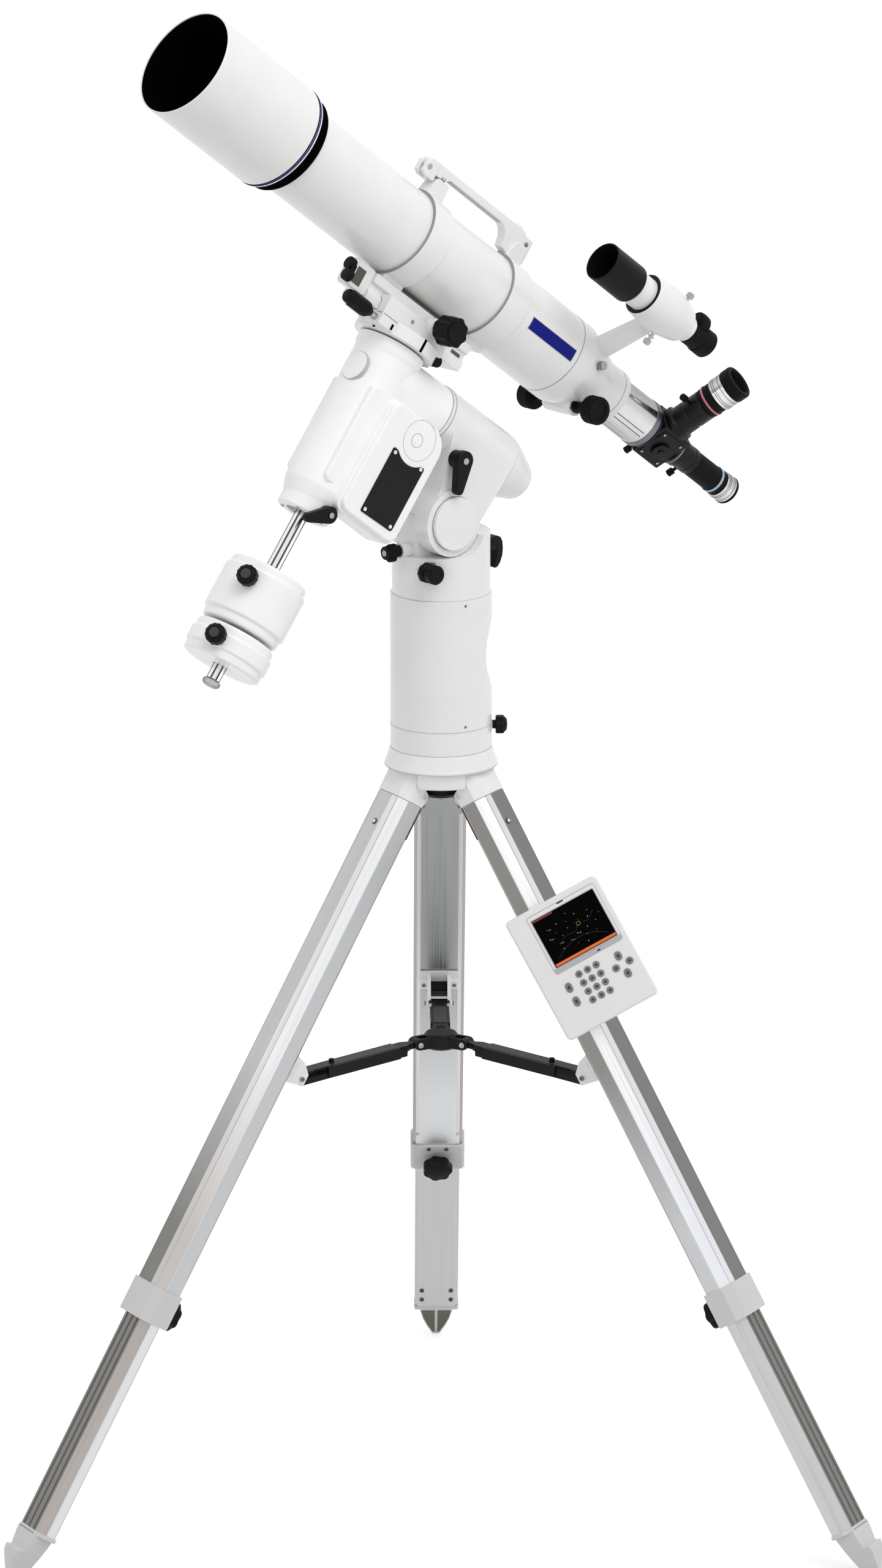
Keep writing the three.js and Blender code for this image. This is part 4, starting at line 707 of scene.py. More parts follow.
class TELESCOPE_OT_tube(TelescopeOperator):
    """Models the main tube, the dew shield, the lens cell and the blank label"""

    bl_idname = "telescope.tube"
    bl_label = "Optical tube"

    def execute(self, context):
        fit = fitter("tube", TUBE)
        skin = ring("z", TUBE_RADIUS - 1.9, TUBE_RADIUS, -249.8, 315.8, 0.3, 96)
        fit("main_tube_skin", "white", skin, replaces="main_tube")
        seam = ring("z", TUBE_RADIUS - 0.5, TUBE_RADIUS + 0.3, -250.6, -249.4, 0.1, 96)
        fit("tube_end_seam", "seam", seam)
        shield = [
            (74.9, 338.4), (76.3, 338.4), (SHIELD_RADIUS, 339.2), (SHIELD_RADIUS, 340.6), (76.5, 341.0),
            (76.5, 345.6), (SHIELD_RADIUS, 346.0), (SHIELD_RADIUS, 533.0), (76.4, 534.0), (75.2, 534.0),
            (74.9, 533.4),
        ]
        fit("dew_shield_skin", "white", lathe("z", shield, 0.2, 96), replaces="dew_shield")
        fit("dew_shield_band", "blue", ring("z", 76.2, SHIELD_RADIUS + 0.05, 341.2, 343.0, 0.1, 96))
        fit("dew_shield_groove", "matt", ring("z", 76.2, 76.9, 343.6, 345.5, 0.1, 96))
        lining = [(74.85, 362.5), (74.85, 532.6), (74.2, 533.0), (74.0, 531.8), (74.0, 362.5)]
        steps = [ring("z", 70.6, 74.3, z, z + 1.2, 0, 72) for z in (398, 436, 474, 512)]
        fit("dew_shield_lining", "matt", lathe("z", lining, 0.1, 96), *steps)
        cell = [
            (60.2, 286), (60.2, 320.2), (71.0, 320.2), (72.2, 322.2), (72.2, 325.6), (71.2, 326.2),
            (71.2, 328.2), (72.2, 328.8), (72.2, 333.4), (71.2, 334.0), (71.2, 336.0), (74.2, 337.8),
            (74.2, 362), (57.8, 362), (57.8, 338.3), (53.8, 338.3), (53.8, 286),
        ]
        fit("lens_cell", "matt", lathe("z", cell, 0.3, 96), replaces="objective_cell")
        keeper = [ring("z", 54.6, 60.4, 358.2, 362.8, 0.4, 72)]
        keeper += [shifted(block((-2, 2), (-1.4, 1.4), (0, 1), 0.2), 58, 0, 362.6)]
        fit("lens_keeper", "matt", *keeper)
        front = [
            (0, 339.2), (28, 339.9), (57.2, 341), (57.2, 356), (46, 357.6), (30, 358.9), (15, 359.6),
            (0, 359.9),
        ]
        fit("lens_glass", "glass", lathe("z", front, 0, 72), replaces="objective_lens")
        fit("label_border", "steel", wrap(62.3, 62.75, -83.6, -101.4, -242, -145, 0.1))
        fit("label_plate", "blue", wrap(62.3, 62.95, -84.5, -100.5, -240.8, -146.2, 0.1))
        return {"FINISHED"}


class TELESCOPE_OT_focuser(TelescopeOperator):
    """Models the focuser, its knobs and the draw tube"""

    bl_idname = "telescope.focuser"
    bl_label = "Focuser"

    def execute(self, context):
        fit = fitter("tube", TUBE)
        cone = [
            (36.4, -383), (40.2, -383), (41.4, -382), (41.4, -372.6), (40.8, -371.8), (41.8, -346),
            (43.4, -341), (60.6, -287), (62.3, -282), (TUBE_RADIUS, -278), (TUBE_RADIUS, -250.5),
            (60.2, -250.5), (60.2, -232.4), (55, -232.4), (55, -280), (36.4, -294),
        ]
        housing = [(-60, -326), (-60, -304), (-44, -299), (-36, -299), (-36, -331), (-44, -331)]
        box = [rod("y", 15, -29, 29, 1.2, 40, FOCUS_AXLE), slab("y", housing, -22, 22, 1.5)]
        fit("focuser_cone", "white", lathe("z", cone, 0.5, 96), *box, replaces="focuser_body")
        fit("focuser_rear_seam", "seam", ring("z", 40.4, 41.1, -372.5, -371.4, 0.1, 72))
        spans = ((-32.6, -29), (29, 32.6))
        hubs = [ring("y", 4, 10.5, low, high, 0.5, 32, FOCUS_AXLE) for low, high in spans]
        fit("focuser_bushings", "anodised", *hubs)
        bolts = [
            screw("y", side * 29, side * 1.6, 2.2, (x, 0, z))
            for side in (-1, 1)
            for x, z in ((-39.65, -307.65), (-54.35, -307.65), (-54.35, -322.35), (-39.65, -322.35))
        ]
        fit("focuser_bolts", "steel", *bolts)
        lock = [
            rod("x", 7.5, 0, 4.2, 0.5, 32), rod("x", 3, 4, 8, 0.2, 20),
            slab("x", ribbed(6.2, 18, 0.7), 7, 15.5, 0.3),
        ]
        fit("draw_tube_lock", "steel", *lock, at=turned(-80) @ shift(54.5, 0, -293))

        fit = fitter("focus", TUBE)
        grips = []
        for side in (-1, 1):
            ribs = slab("y", ribbed(20, 30, 1.1), side * 59.5, side * 78.5, 0.4)
            grips.append(shifted(ribs, *FOCUS_AXLE))
            profile = [
                (0, side * 76), (11, side * 76), (12.5, side * 80), (18, side * 80), (18.9, side * 79),
                (18.9, side * 59), (15, side * 58), (6.5, side * 58), (6.5, side * 47), (5, side * 46),
                (5, side * 33), (0, side * 33),
            ]
            grips.append(lathe("y", profile, 0.5, 48, FOCUS_AXLE))
        fit("focus_grips", "rubber", *grips, replaces="focus_knobs")
        caps = [rod("y", 4.2, side * 75, side * 77.6, 0.5, 24, FOCUS_AXLE) for side in (-1, 1)]
        fit("focus_axle_caps", "steel", *caps)

        fit = fitter("drawtube", TUBE)
        skin = ring("z", 32.6, 35.5, -461.5, -268, 0.4, 96)
        fit("draw_tube_skin", "chrome", skin, replaces="draw_tube")
        slots = [
            wrap(35.2, 35.62, angle - 0.9, angle + 0.9, -448, -330, 0.05, 3) for angle in (-121.5, -133.5)
        ]
        rack = block((-35.4, -33.6), (-4.2, 4.2), (-440, -276), 0.2)
        fit("draw_tube_slots", "anodised", *slots, rack)
        fit("draw_tube_collar", "grey", ring("z", 35.0, 36.2, -462, -452.5, 0.6, 72))
        return {"FINISHED"}


class TELESCOPE_OT_eyepieces(TelescopeOperator):
    """Models the mirror box and both eyepieces"""

    bl_idname = "telescope.eyepieces"
    bl_label = "Mirror box and eyepieces"

    def execute(self, context):
        fit = fitter("drawtube", MIRROR)
        flange = [(18, -473), (30, -473), (33, -470), (33, -462.3), (18, -462.3)]
        neck = [
            (16.1, -574), (19.4, -574), (20, -573.4), (20, -565), (19.2, -564.4), (19.2, -561.6), (20, -561),
            (20, -548), (22.4, -546), (22.4, -536), (24.6, -534), (24.6, -527), (16.1, -527),
        ]
        upper = [
            (16.1, 30), (26, 30), (26, 38), (23.4, 40), (22, 41), (22, 58), (21, 59), (21, 62), (22, 63),
            (22, 84.6), (21, 86), (16.1, 86),
        ]
        shell = [
            slab("z", rounded(31.5, 23, 3), -528, -472, 2.2), lathe("z", flange, 0.5, 64),
            slab("y", rounded(26, 22, 3, (-1, -500)), -24.2, -22.5, 0.6),
            rod("y", 13.5, -29, -23, 1.2, 48, (-4, 0, -502)), rod("y", 5, -31, -28, 0.8, 28, (-4, 0, -502)),
            lathe("z", neck, 0.4, 64), lathe("x", upper, 0.4, 64, (0, 0, MIRROR_HEIGHT)),
        ]
        fit("mirror_box_shell", "anodised", *shell, replaces="flip_mirror_box")
        caps = [screw("y", -24.2, -1.6, 2.0, (x, 0, z)) for x in (-22, 20) for z in (-482, -518)]
        fit("mirror_box_screws", "steel", *caps)

        thumbscrews = (
            ("box", 30, 50, shift(0, 0, -486) @ turned(180)),
            ("top", 20, 38, shift(72, 0, MIRROR_HEIGHT) @ turned(-90, "Y")),
            ("rear", 18, 37, shift(0, 0, -569) @ turned(180)),
        )
        for side, base, tip, spot in thumbscrews:
            stem, grip = rod("x", 2.4, base, tip, 0.2, 20), slab("x", ribbed(5.2, 16, 0.6), tip - 9, tip, 0.4)
            fit(f"{side}_thumbscrew", "knob", stem, grip, at=spot)
        fit("rear_neck_ring", "grey", ring("z", 19, 25.0, -533.4, -530.6, 0.4, 64))

        eyepieces = (
            ("top", TOP_HOLDER, 24.0, 60.0, (7.5, 10.5), (23, 43), "pink"),
            ("rear", REAR_HOLDER, 20.5, 89.0, (51, 55), (64, 84), "sky"),
        )
        for side, where, radius, length, mark, band, colour in eyepieces:
            fit = fitter(f"{side}_eyepiece", where)
            lens_end = length - 6
            body = [
                (12, -24), (15.5, -24), (15.8, -23.5), (15.8, 0.3), (radius - 3, 0.3), (radius - 1.6, 1.6),
                (radius - 1.6, mark[0] - 1), (radius - 1, mark[0]), (radius - 1, mark[1]),
                (radius - 1.4, mark[1] + 0.6), (radius - 1.4, band[1] + 0.4), (radius + 0.4, band[1] + 1),
                (radius + 1, band[1] + 2.2), (radius + 1, length - 2.4), (radius - 0.4, length),
                (radius - 4.5, length), (radius - 6, length - 2), (radius - 7.5, lens_end - 4),
                (12, lens_end - 5),
            ]
            fit(f"{side}_eyepiece_body", "rubber", lathe("z", body, 0.4, 64), replaces=f"eyepiece_{side}")
            fit(f"{side}_eyepiece_mark", colour, ring("z", radius - 1.6, radius - 0.4, *mark, 0.2, 64))
            fit(f"{side}_eyepiece_band", "chrome", ring("z", radius - 1.8, radius + 0.3, *band, 0.5, 64))
            grooves = [
                ring("z", radius - 1, radius + 0.45, z, z + 0.8, 0.1, 64)
                for z in (band[0] + 4, band[0] + 7, band[1] - 5)
            ]
            fit(f"{side}_eyepiece_grooves", "anodised", *grooves)
            back, front = lens_end - 5.5, lens_end - 3.6
            glass = [(0, back), (11.9, back), (11.9, back + 0.5), (0, front)]
            fit(f"{side}_eyepiece_lens", "glass", lathe("z", glass, 0, 48))
        return {"FINISHED"}


class TELESCOPE_OT_finder(TelescopeOperator):
    """Models the finder, its bracket and its screws"""

    bl_idname = "telescope.finder"
    bl_label = "Finder"

    def execute(self, context):
        fit = fitter("tube", SIGHT)
        hood = [
            (17.2, -218), (26.4, -218), (28.2, -216), (28.7, -214), (28.7, -153), (27.6, -152),
            (26.6, -152.6), (26.4, -192), (17.2, -192),
        ]
        fit("finder_hood", "black", lathe("z", hood, 0.4, 72, SIGHT_LINE), replaces="finder_scope")
        lens = [(0, -201), (17.3, -201), (17.3, -199), (0, -196.4)]
        fit("finder_lens", "glass", lathe("z", lens, 0, 64, SIGHT_LINE))
        barrel = [
            (17, -344), (18.6, -344), (19, -343), (19, -250), (24.2, -249.6), (24.6, -248),
            (24.6, -219.5), (23.2, -218.2), (17, -218.2),
        ]
        fit("finder_barrel", "white", lathe("z", barrel, 0.4, 72, SIGHT_LINE))
        fit("finder_ring", "black", ring("z", 18.8, 30.8, -248, -245, 0.3, 72, SIGHT_LINE))
        eyepiece = [
            (13, -390), (18.6, -390), (20, -388.6), (20, -370), (18.4, -368), (18.4, -346), (17, -344),
            (11, -344),
        ]
        holder = [(0, -342), (18.6, -342), (18.6, -354), (15, -358), (0, -358)]
        lamp = [(0, -348), (13.4, -348), (14.4, -355), (13.4, -364), (9, -369), (0, -370)]
        fit("finder_eyepiece", "rubber", lathe("z", eyepiece, 0.5, 64, SIGHT_LINE),
            lathe("z", holder, 1.0, 48, (170, 2, 0)), lathe("z", lamp, 0.8, 40, (184, 10, 0)))
        fit("finder_eye_lens", "glass", rod("z", 11.2, -383, -381, 0, 48, SIGHT_LINE))

        sleeve = [
            (19.4, -330), (25.5, -330), (27.4, -328.4), (30, -320), (32.4, -308), (34.4, -299),
            (35.6, -290), (35.6, -282), (33.8, -264), (31.8, -245.6), (31.2, -244.4), (30.4, -244.4),
            (30.4, -249), (19.4, -249),
        ]
        arm = slab("y", [(50, -276), (50, -309), (150, -309), (150, -286)], -8.5, 8.5, 2.5, 3)
        fit("finder_sleeve", "white", lathe("z", sleeve, 0.6, 72, SIGHT_LINE), arm, replaces="finder_bracket")
        screws = []
        for turn, along, out in ((33, -312, 3), (213, -302, 12), (123, -304, 3)):
            parts = (
                rod("x", 2.6, 19.4, 36, 0.2, 20), rod("x", 5, 26, 28, 0.4, 24),
                slab("x", ribbed(5.6, 16, 0.6), 32, 39, 0.4), rod("x", 3.6, 38, 40.6, 0.6, 20),
            )
            spot = shift(*SIGHT_LINE) @ turned(turn)
            screws += [moved(shifted(part, out, 0, along), spot) for part in parts]
        fit("finder_screws", "steel", *screws)
        return {"FINISHED"}


class TELESCOPE_OT_rings(TelescopeOperator):
    """Models the tube rings, the carrying handle and the dovetail bar"""

    bl_idname = "telescope.rings"
    bl_label = "Rings and handle"

    def execute(self, context):
        fit = fitter("rings", TUBE)
        for side, middle in (("front", 66), ("rear", -107)):
            low, high = middle - 20, middle + 20
            post = [(64, low + 4), (64, high - 4), (88, high - 9), (92, high - 13), (92, low + 6)]
            shapes = [
                ring("z", 63.0, 66.7, low, high, 0.8, 96),
                slab("z", rounded(5.5, 20, 3, (-65.2, 0)), low, high, 1.2),
                slab("y", post, -12, 12, 1.5),
            ]
            fit(f"tube_ring_{side}_body", "white", *shapes, replaces=f"tube_ring_{side}")
            fit(f"tube_ring_{side}_seam", "seam", ring("z", 62.6, 66.9, high - 0.3, high + 0.7, 0.1, 96))
        rail = [
            (110.6, 84), (111, -104), (105.5, -112), (105.5, -124), (103, -127), (71, -127), (69, -125),
            (69, -92), (72, -80), (86, -77), (94.4, -71), (98.6, -64), (99.6, -56), (99.6, 52), (95, 58),
            (93, 66), (93, 84),
        ]
        clevis = [(83, 81), (83, 98), (87, 105), (103, 105), (110, 99), (110, 81)]
        shapes = [
            slab("y", rail, -8.6, 8.6, 2.2, 3),
            slab("y", clevis, -10.5, -3.2, 1.4), slab("y", clevis, 3.2, 10.5, 1.4),
            slab("y", clevis[:1] + [(83, 90), (108, 90)] + clevis[-1:], -8, 8, 1.0),
            block((110, 114), (-5, 5), (-101, -88), 1.5),
        ]
        fit("handle_body", "white", *shapes, replaces="carry_handle")
        bolts = [
            rod("y", 3.6, -12, 12, 0.6, 24, (97, 0, 98)), rod("y", 3.2, -10.6, 10.6, 0.5, 24, (96, 0, -116)),
        ]
        bolts += [screw("x", 92, 4, 3, (0, y, 66)) for y in (-10.4, 10.4)]
        fit("handle_bolts", "steel", *bolts)
        fit("handle_grip_line", "faint", block((98.9, 99.8), (-6.4, 6.4), (-62, 50), 0.2))

        bar = [(-111.7, -25), (-99.6, -25), (-93.6, -20), (-87, -20), (-84, -25), (-71, -25)]
        front_block = [
            (-107, 100), (-71, 100), (-69, 104), (-69, 138), (-73, 142), (-106, 142), (-109, 138),
            (-109, 104),
        ]
        rear_block = [(-110, -104), (-71, -104), (-71, -62), (-84, -62), (-88, -70), (-110, -70)]
        shapes = [
            slab("z", mirrored(bar, 1, -1), -104, 100, 0.8),
            slab("y", front_block, -20.8, -2, 1.8), slab("y", rear_block, -20.8, -14, 1.2),
        ]
        fit("dovetail_body", "white", *shapes, replaces="dovetail_bar")
        # painted shade: dark plates on the flat side stand for the shade in the dovetail's recesses
        darks = [
            block((-102, -78), (-21.4, -20.3), (116, 132), 0.2),
            block((-98, -90), (-21.4, -20.3), (-96, -78), 0.2),
        ]
        fit("dovetail_recesses", "groove", *darks)
        fit("dovetail_shadow_line", "olive", block((-70.8, -66.4), (-17, 17), (-84, 44), 0.2))
        return {"FINISHED"}


class TELESCOPE_OT_saddle(TelescopeOperator):
    """Models the saddle and its knobs"""

    bl_idname = "telescope.saddle"
    bl_label = "Saddle"

    def execute(self, context):
        fit = fitter("dec_axle", TUBE)
        disc = [(0, -132.3), (58.8, -132.3), (60, -131), (60, -114), (58, -112.4), (0, -112.4)]
        jaw = [
            (-117, -42), (-88, -42), (-88, -21.5), (-93, -21.5), (-99, -26.5), (-112, -26.5), (-117, -26.5),
        ]
        far_jaw = [(x, -y) for x, y in reversed(jaw)]
        shapes = [
            lathe("x", disc, 0.6, 96), slab("z", jaw, -52, 74, 1.4), slab("z", far_jaw, -52, 74, 1.4),
            block((-130, -112), (-42, -10), (20, 74), 1.6),
            rod("y", 13, -46, -30, 0.8, 40, (-86, 0, -21)),
        ]
        fit("saddle_body", "white", *shapes, replaces="saddle")
        notches = [block((-128, -120), (-43.5, -42.3), (48, 51), 0.1)]
        for angle in (16, 90, 164):
            notch = block((-132, -113), (-2, 2), (58.6, 60.6), 0.1)
            notches.append(moved(notch, turned(angle, "X")))
        fit("saddle_notches", "matt", *notches)
        fit("saddle_screws", "steel", *[screw("y", -42, -1.4, 2.6, (-100, 0, z)) for z in (22, -42)])

        fit = fitter("saddle_clamp", TUBE)
        grip = [
            slab("y", lobed(22, 8, 2.6), -83.5, -57.5, 1.6, 3),
            lathe("y", [(0, -58), (20, -58), (12, -52), (11, -46.3), (0, -46.3)], 0.6, 48),
            lathe("y", [(0, -82), (13, -82), (15, -84.6), (0, -85)], 0.5, 40),
        ]
        fit("saddle_clamp_grip", "knob", *grip, at=shift(-86, 0, -21), replaces="saddle_clamp_knob")

        fit = fitter("saddle_lock", TUBE)
        centre = (-123, -31, 0)
        grip = [(0, 84), (4.6, 84), (11, 94), (11.4, 98), (10.6, 128), (9.6, 134), (7, 136.3), (0, 136.8)]
        flutes = slab("z", lobed(11.9, 6, 1.2), 97, 127, 1.2)
        fit("saddle_lock_grip", "knob", lathe("z", grip, 0.5, 48, centre), shifted(flutes, *centre),
            replaces="saddle_lock_knob")
        fit("saddle_lock_stem", "steel", rod("z", 4.4, 66, 86, 0.3, 24, centre))

        fit = fitter("rings", TUBE)
        knob = [rod("z", 9.2, 142, 152, 1.4, 36, (x, y, 0)) for x, y in ((-83, -21), (-99.4, -27))]
        knob.append(block((-100, -83), (-31, -19), (141, 149), 1.0))
        fit("dovetail_end_knob", "knob", *knob)
        fit = fitter("dec_axle", TUBE)
        fit("saddle_stop_knob", "knob", rod("y", 8, -31, -18, 1.0, 32, (-120, 0, -59)))
        return {"FINISHED"}


class TELESCOPE_OT_declination(TelescopeOperator):
    """Models the declination body, its blank plate and its clamp lever"""

    bl_idname = "telescope.declination"
    bl_label = "Declination body"

    def execute(self, context):
        fit = fitter("dec_body", TUBE)
        barrel = [
            (24, -398), (36.8, -398), (38.5, -396.4), (38.5, -380), (40, -377), (45.4, -361), (46, -357),
            (46, -158), (47, -152), (49, -148), (49, -134.3), (24, -134.3),
        ]
        rear = [
            (-350, -118), (-229, -118), (-229, -111), (-200, -111), (-200, 20), (-206, 30), (-344, 30),
            (-350, 24),
        ]
        outline = (
            arc((-217, -18), 12, 0, 90, 6) + arc((-358, -18), 14, 90, 180, 6)
            + arc((-358, -102), 15, 180, 270, 6) + arc((-236, -86), 31, 270, 360, 10)
        )
        inner = [(min(x, -228) if z < -108 else x, z) for x, z in outline]
        swell = [(-232 + (x + 232) * 1.03, -62 + (z + 62) * 1.04) for x, z in outline]
        swell = [(min(x, -230) if z < -110 else x, max(z, -118)) for x, z in swell]
        shapes = [
            lathe("x", barrel, 0.8, 96),
            rod("z", 45, -111.4, 2, 0.6, 96, DEC_AXLE_SPOT),
            slab("y", rear, -45, 45, 5, 3), slab("y", outline, -62, -48.5, 3.2, 3),
            slab("y", inner, -49, -18, 1.0), slab("y", swell, -53.5, -16, 2.2),
        ]
        # the casting and its caps take the lighter copy of the white enamel, a painted highlight
        fit("dec_body_casting", "snow", *shapes, replaces="dec_housing")
        seams = [
            ring("z", 44.6, 45.25, -111.6, -110.6, 0.05, 96, DEC_AXLE_SPOT),
            ring("y", 28.2, 28.9, -62.25, -61.5, 0.05, 72, (-232, 0, -71)),
            ring("y", 9.2, 10.2, -62.3, -61.5, 0.05, 40, (-234, 0, -67)),
        ]
        fit("dec_body_seams", "faint", *seams)
        cap = [
            rod("y", 5.4, -62.5, -61, 0.2, 32, (-234, 0, -67)),
            rod("z", 21, 40, 47.6, 0.8, 56, (-188, -6, 0)),
        ]
        fit("dec_body_caps", "snow", *cap)
        fit("dec_window_rim", "faint", ring("z", 21, 21.8, 40, 46.4, 0.2, 56, (-188, -6, 0)))
        notch = arc((-232, -70), 37.6, 219.5, 140.5, 12)
        plate = [(-359, -36.5), (-360.5, -38.5), (-359, -99), (-356.5, -101.5), (-262, -101.5), (-260, -99.5)]
        plate += [*notch, (-260, -39), (-262, -36.5)]
        fit("blank_plate", "anodised", slab("y", plate, -63.2, -61.8, 0.3))
        corners = ((-266, -42), (-264, -95.5), (-355, -42), (-354, -95.5))
        caps = [screw("y", -63.1, -1.2, 2.8, (x, 0, z)) for x, z in corners]
        fit("blank_plate_screws", "white", *caps)
        bolts = [
            screw("x", -398, -1.8, 2.4, (0, 30.5 * math.cos(turn), 30.5 * math.sin(turn)))
            for turn in (0.6, 2.17, 3.74, 5.31)
        ]
        fit("dec_body_bolts", "steel", *bolts)

        fit = fitter("dec_clamp", TUBE)
        centre = (-388, -4)
        lever = slab("y", teardrop(centre, 12, 6.5, 36, 124), -53, -43, 1.6, 3)
        hub = rod("y", 11.6, -44, -38.8, 0.4, 40, (centre[0], 0, centre[1]))
        fit("dec_lever_body", "black", lever, hub, replaces="dec_clamp_lever")
        fit("dec_lever_screw", "steel", screw("y", -53, -2.2, 4.2, (centre[0], 0, centre[1])))

        fit = fitter("counterweight_rod", TUBE)
        bar = [(0, -665.6), (5, -665.6), (5, -658), (9, -658), (10, -657), (10, -300), (0, -300)]
        fit("weight_bar", "mirror", lathe("x", bar, 0.3, 48), replaces="counterweight_bar")
        fit = fitter("bar_stop", TUBE)
        stop = [
            (0, -667.2), (9, -667.2), (12.2, -665), (13, -663), (13, -659.4), (12, -658.5), (5.6, -658.4),
            (5.6, -666), (0, -666),
        ]
        fit("weight_bar_stop", "steel", lathe("x", stop, 0.4, 48), replaces="counterweight_bar_stop")
        for size, low, high, step, spot in (("large", -583, -490, 4, -520), ("small", -636, -588, 3, -611)):
            fit = fitter(f"weight_{size}", TUBE)
            rim = 60 - step
            profile = [
                (10.7, low), (rim - 4, low), (rim - 1, low + 1.2), (rim, low + 4), (rim, low + 12.4),
                (59.2, low + 13.6), (60, low + 15), (60, high - 15), (59.2, high - 13.6), (rim, high - 12.4),
                (rim, high - 4), (rim - 1, high - 1.2), (rim - 4, high), (20, high), (17, high - 2.5),
                (10.7, high - 2.5),
            ]
            # the weights take the lighter copy of the white enamel, a painted highlight
            fit(f"weight_{size}_body", "iron", lathe("x", profile, 0.8, 96), replaces=f"counterweight_{size}")
            lean = shift(spot) @ turned(31, "X")
            fit = fitter(f"weight_screw_{size}", TUBE)
            core = [(0, 62.6), (8, 62.6), (14, 66), (14, 77), (11, 81), (6, 82.2), (0, 82.4)]
            fit(f"weight_{size}_grip", "knob", slab("z", lobed(14.6, 12, 0.7), 64.5, 79, 2.4, 3),
                lathe("z", core, 1.2, 48), at=lean, replaces=f"counterweight_knob_{size}")
            fit(f"weight_{size}_stem", "steel", rod("z", 4, 10.9, 64, 0.2, 24), at=lean)
            fit(f"weight_{size}_grip_cap", "legend", rod("z", 7, 81, 82.8, 0.8, 32), at=lean)
        return {"FINISHED"}


class TELESCOPE_OT_polar(TelescopeOperator):
    """Models the polar body, its cover and its clamp lever"""

    bl_idname = "telescope.polar"
    bl_label = "Polar body"

    def execute(self, context):
        refine("ra_housing", "white", POLAR, 1.6, 3, "polar_body_casting")
        fit = fitter("polar_body", POLAR)
        seams = [ring("y", 37.3, 38.3, y, y + 0.7, 0.05, 72) for y in (-52.5, 51.9)]
        seams.append(ring("z", 46.8, 47.3, 84, 85, 0.05, 96, POLAR_SCOPE))
        fit("polar_body_seams", "seam", *seams)
        shapes = [rod("y", 37.2, side * 52 - 6.4, side * 52 + 6.4, 1.4, 72) for side in (-1, 1)]
        fit("latitude_covers", "white", *shapes)
        bolts = [screw("y", 46, 1.6, 2.4, (x, 0, z)) for x, z in ((52, -34), (100, -30), (46, 58), (96, 60))]
        fit("polar_body_bolts", "steel", *bolts)

        fit = fitter("polar_cover", POLAR)
        cover = [
            (0, -110.5), (20, -110.5), (25.5, -109), (28, -105.5), (41.5, -72), (44.6, -62), (46, -56),
            (46.6, -51.2), (40, -51.2), (40, -38.6), (36, -38.6), (36, -60), (23, -106), (0, -106),
        ]
        shell = lathe("z", cover, 0.7, 96, POLAR_SCOPE)
        fit("polar_cover_shell", "white", shell, replaces="polar_scope_cover")
        fit("polar_cover_seam", "seam", ring("z", 45.6, 46.4, -51.3, -50.4, 0.05, 96, POLAR_SCOPE))

        fit = fitter("ra_clamp", POLAR)
        centre = (75.7, 47.9)
        lever = slab("y", teardrop(centre, 14, 7, 41, 202.8), -70, -58, 1.8, 3)
        hub = rod("y", 12.5, -60, -46.6, 0.6, 40, (centre[0], 0, centre[1]))
        fit("ra_lever_body", "black", lever, hub, replaces="ra_clamp_lever")
        fit("ra_lever_screw", "steel", screw("y", -70, -1.6, 4.6, (centre[0], 0, centre[1])))
        return {"FINISHED"}


class TELESCOPE_OT_base(TelescopeOperator):
    """Models the mount's base and its adjusting screws"""

    bl_idname = "telescope.base"
    bl_label = "Mount base"

    def execute(self, context):
        refine("azimuth_base", "white", UPRIGHT, 1.2, 3, "base_casting")
        fit = fitter("azimuth_screw", UPRIGHT)
        centre = (-42, 0, -65)
        grip = [
            (0, -38.6), (8, -38.6), (12.8, -40.5), (13.6, -42), (13.6, -47), (12, -49), (8, -51), (8, -53),
            (12.2, -54.5), (13.4, -56), (13.4, -66), (12, -68), (9, -68.6), (8, -67.8), (0, -67.8),
        ]
        lobes = slab("y", lobed(14.4, 8, 1.4), -47.6, -41, 1.0)
        end_lobes = slab("y", lobed(14, 8, 1.2), -66, -56, 1.0)
        fit("azimuth_grip", "knob", lathe("y", grip, 0.5, 48, centre), shifted(lobes, *centre),
            shifted(end_lobes, *centre), replaces="azimuth_knob")

        fit = fitter("altitude_screw", UPRIGHT)
        centre = (0, 0, -40)
        grip = [
            slab("x", lobed(14, 3, 5, 14), -78, -65, 2.2, 3), rod("x", 8.6, -66, -56, 0.8, 40),
            rod("x", 9.6, -80.4, -77, 0.8, 40),
        ]
        fit("altitude_grip", "knob", *grip, at=shift(*centre), replaces="altitude_knob")
        fit("altitude_grip_screw", "steel", screw("x", -80.2, -1.6, 4.4, centre))

        fit = fitter("altitude_lever", UPRIGHT)
        hook = [
            (90, -41), (95, -38), (103, -37), (109, -40), (112, -46), (113, -56), (112, -66), (108, -76),
            (103, -82), (98, -83), (96, -80), (97.5, -74), (101, -66), (102, -58), (99.5, -52), (93, -51),
            (90, -51),
        ]
        stem = rod("x", 5.2, 87.8, 96, 0.4, 32, (0, 0, -47))
        fit("altitude_lever_hook", "black", slab("y", hook, -22, 4, 3, 3), stem, replaces="altitude_lever")
        return {"FINISHED"}


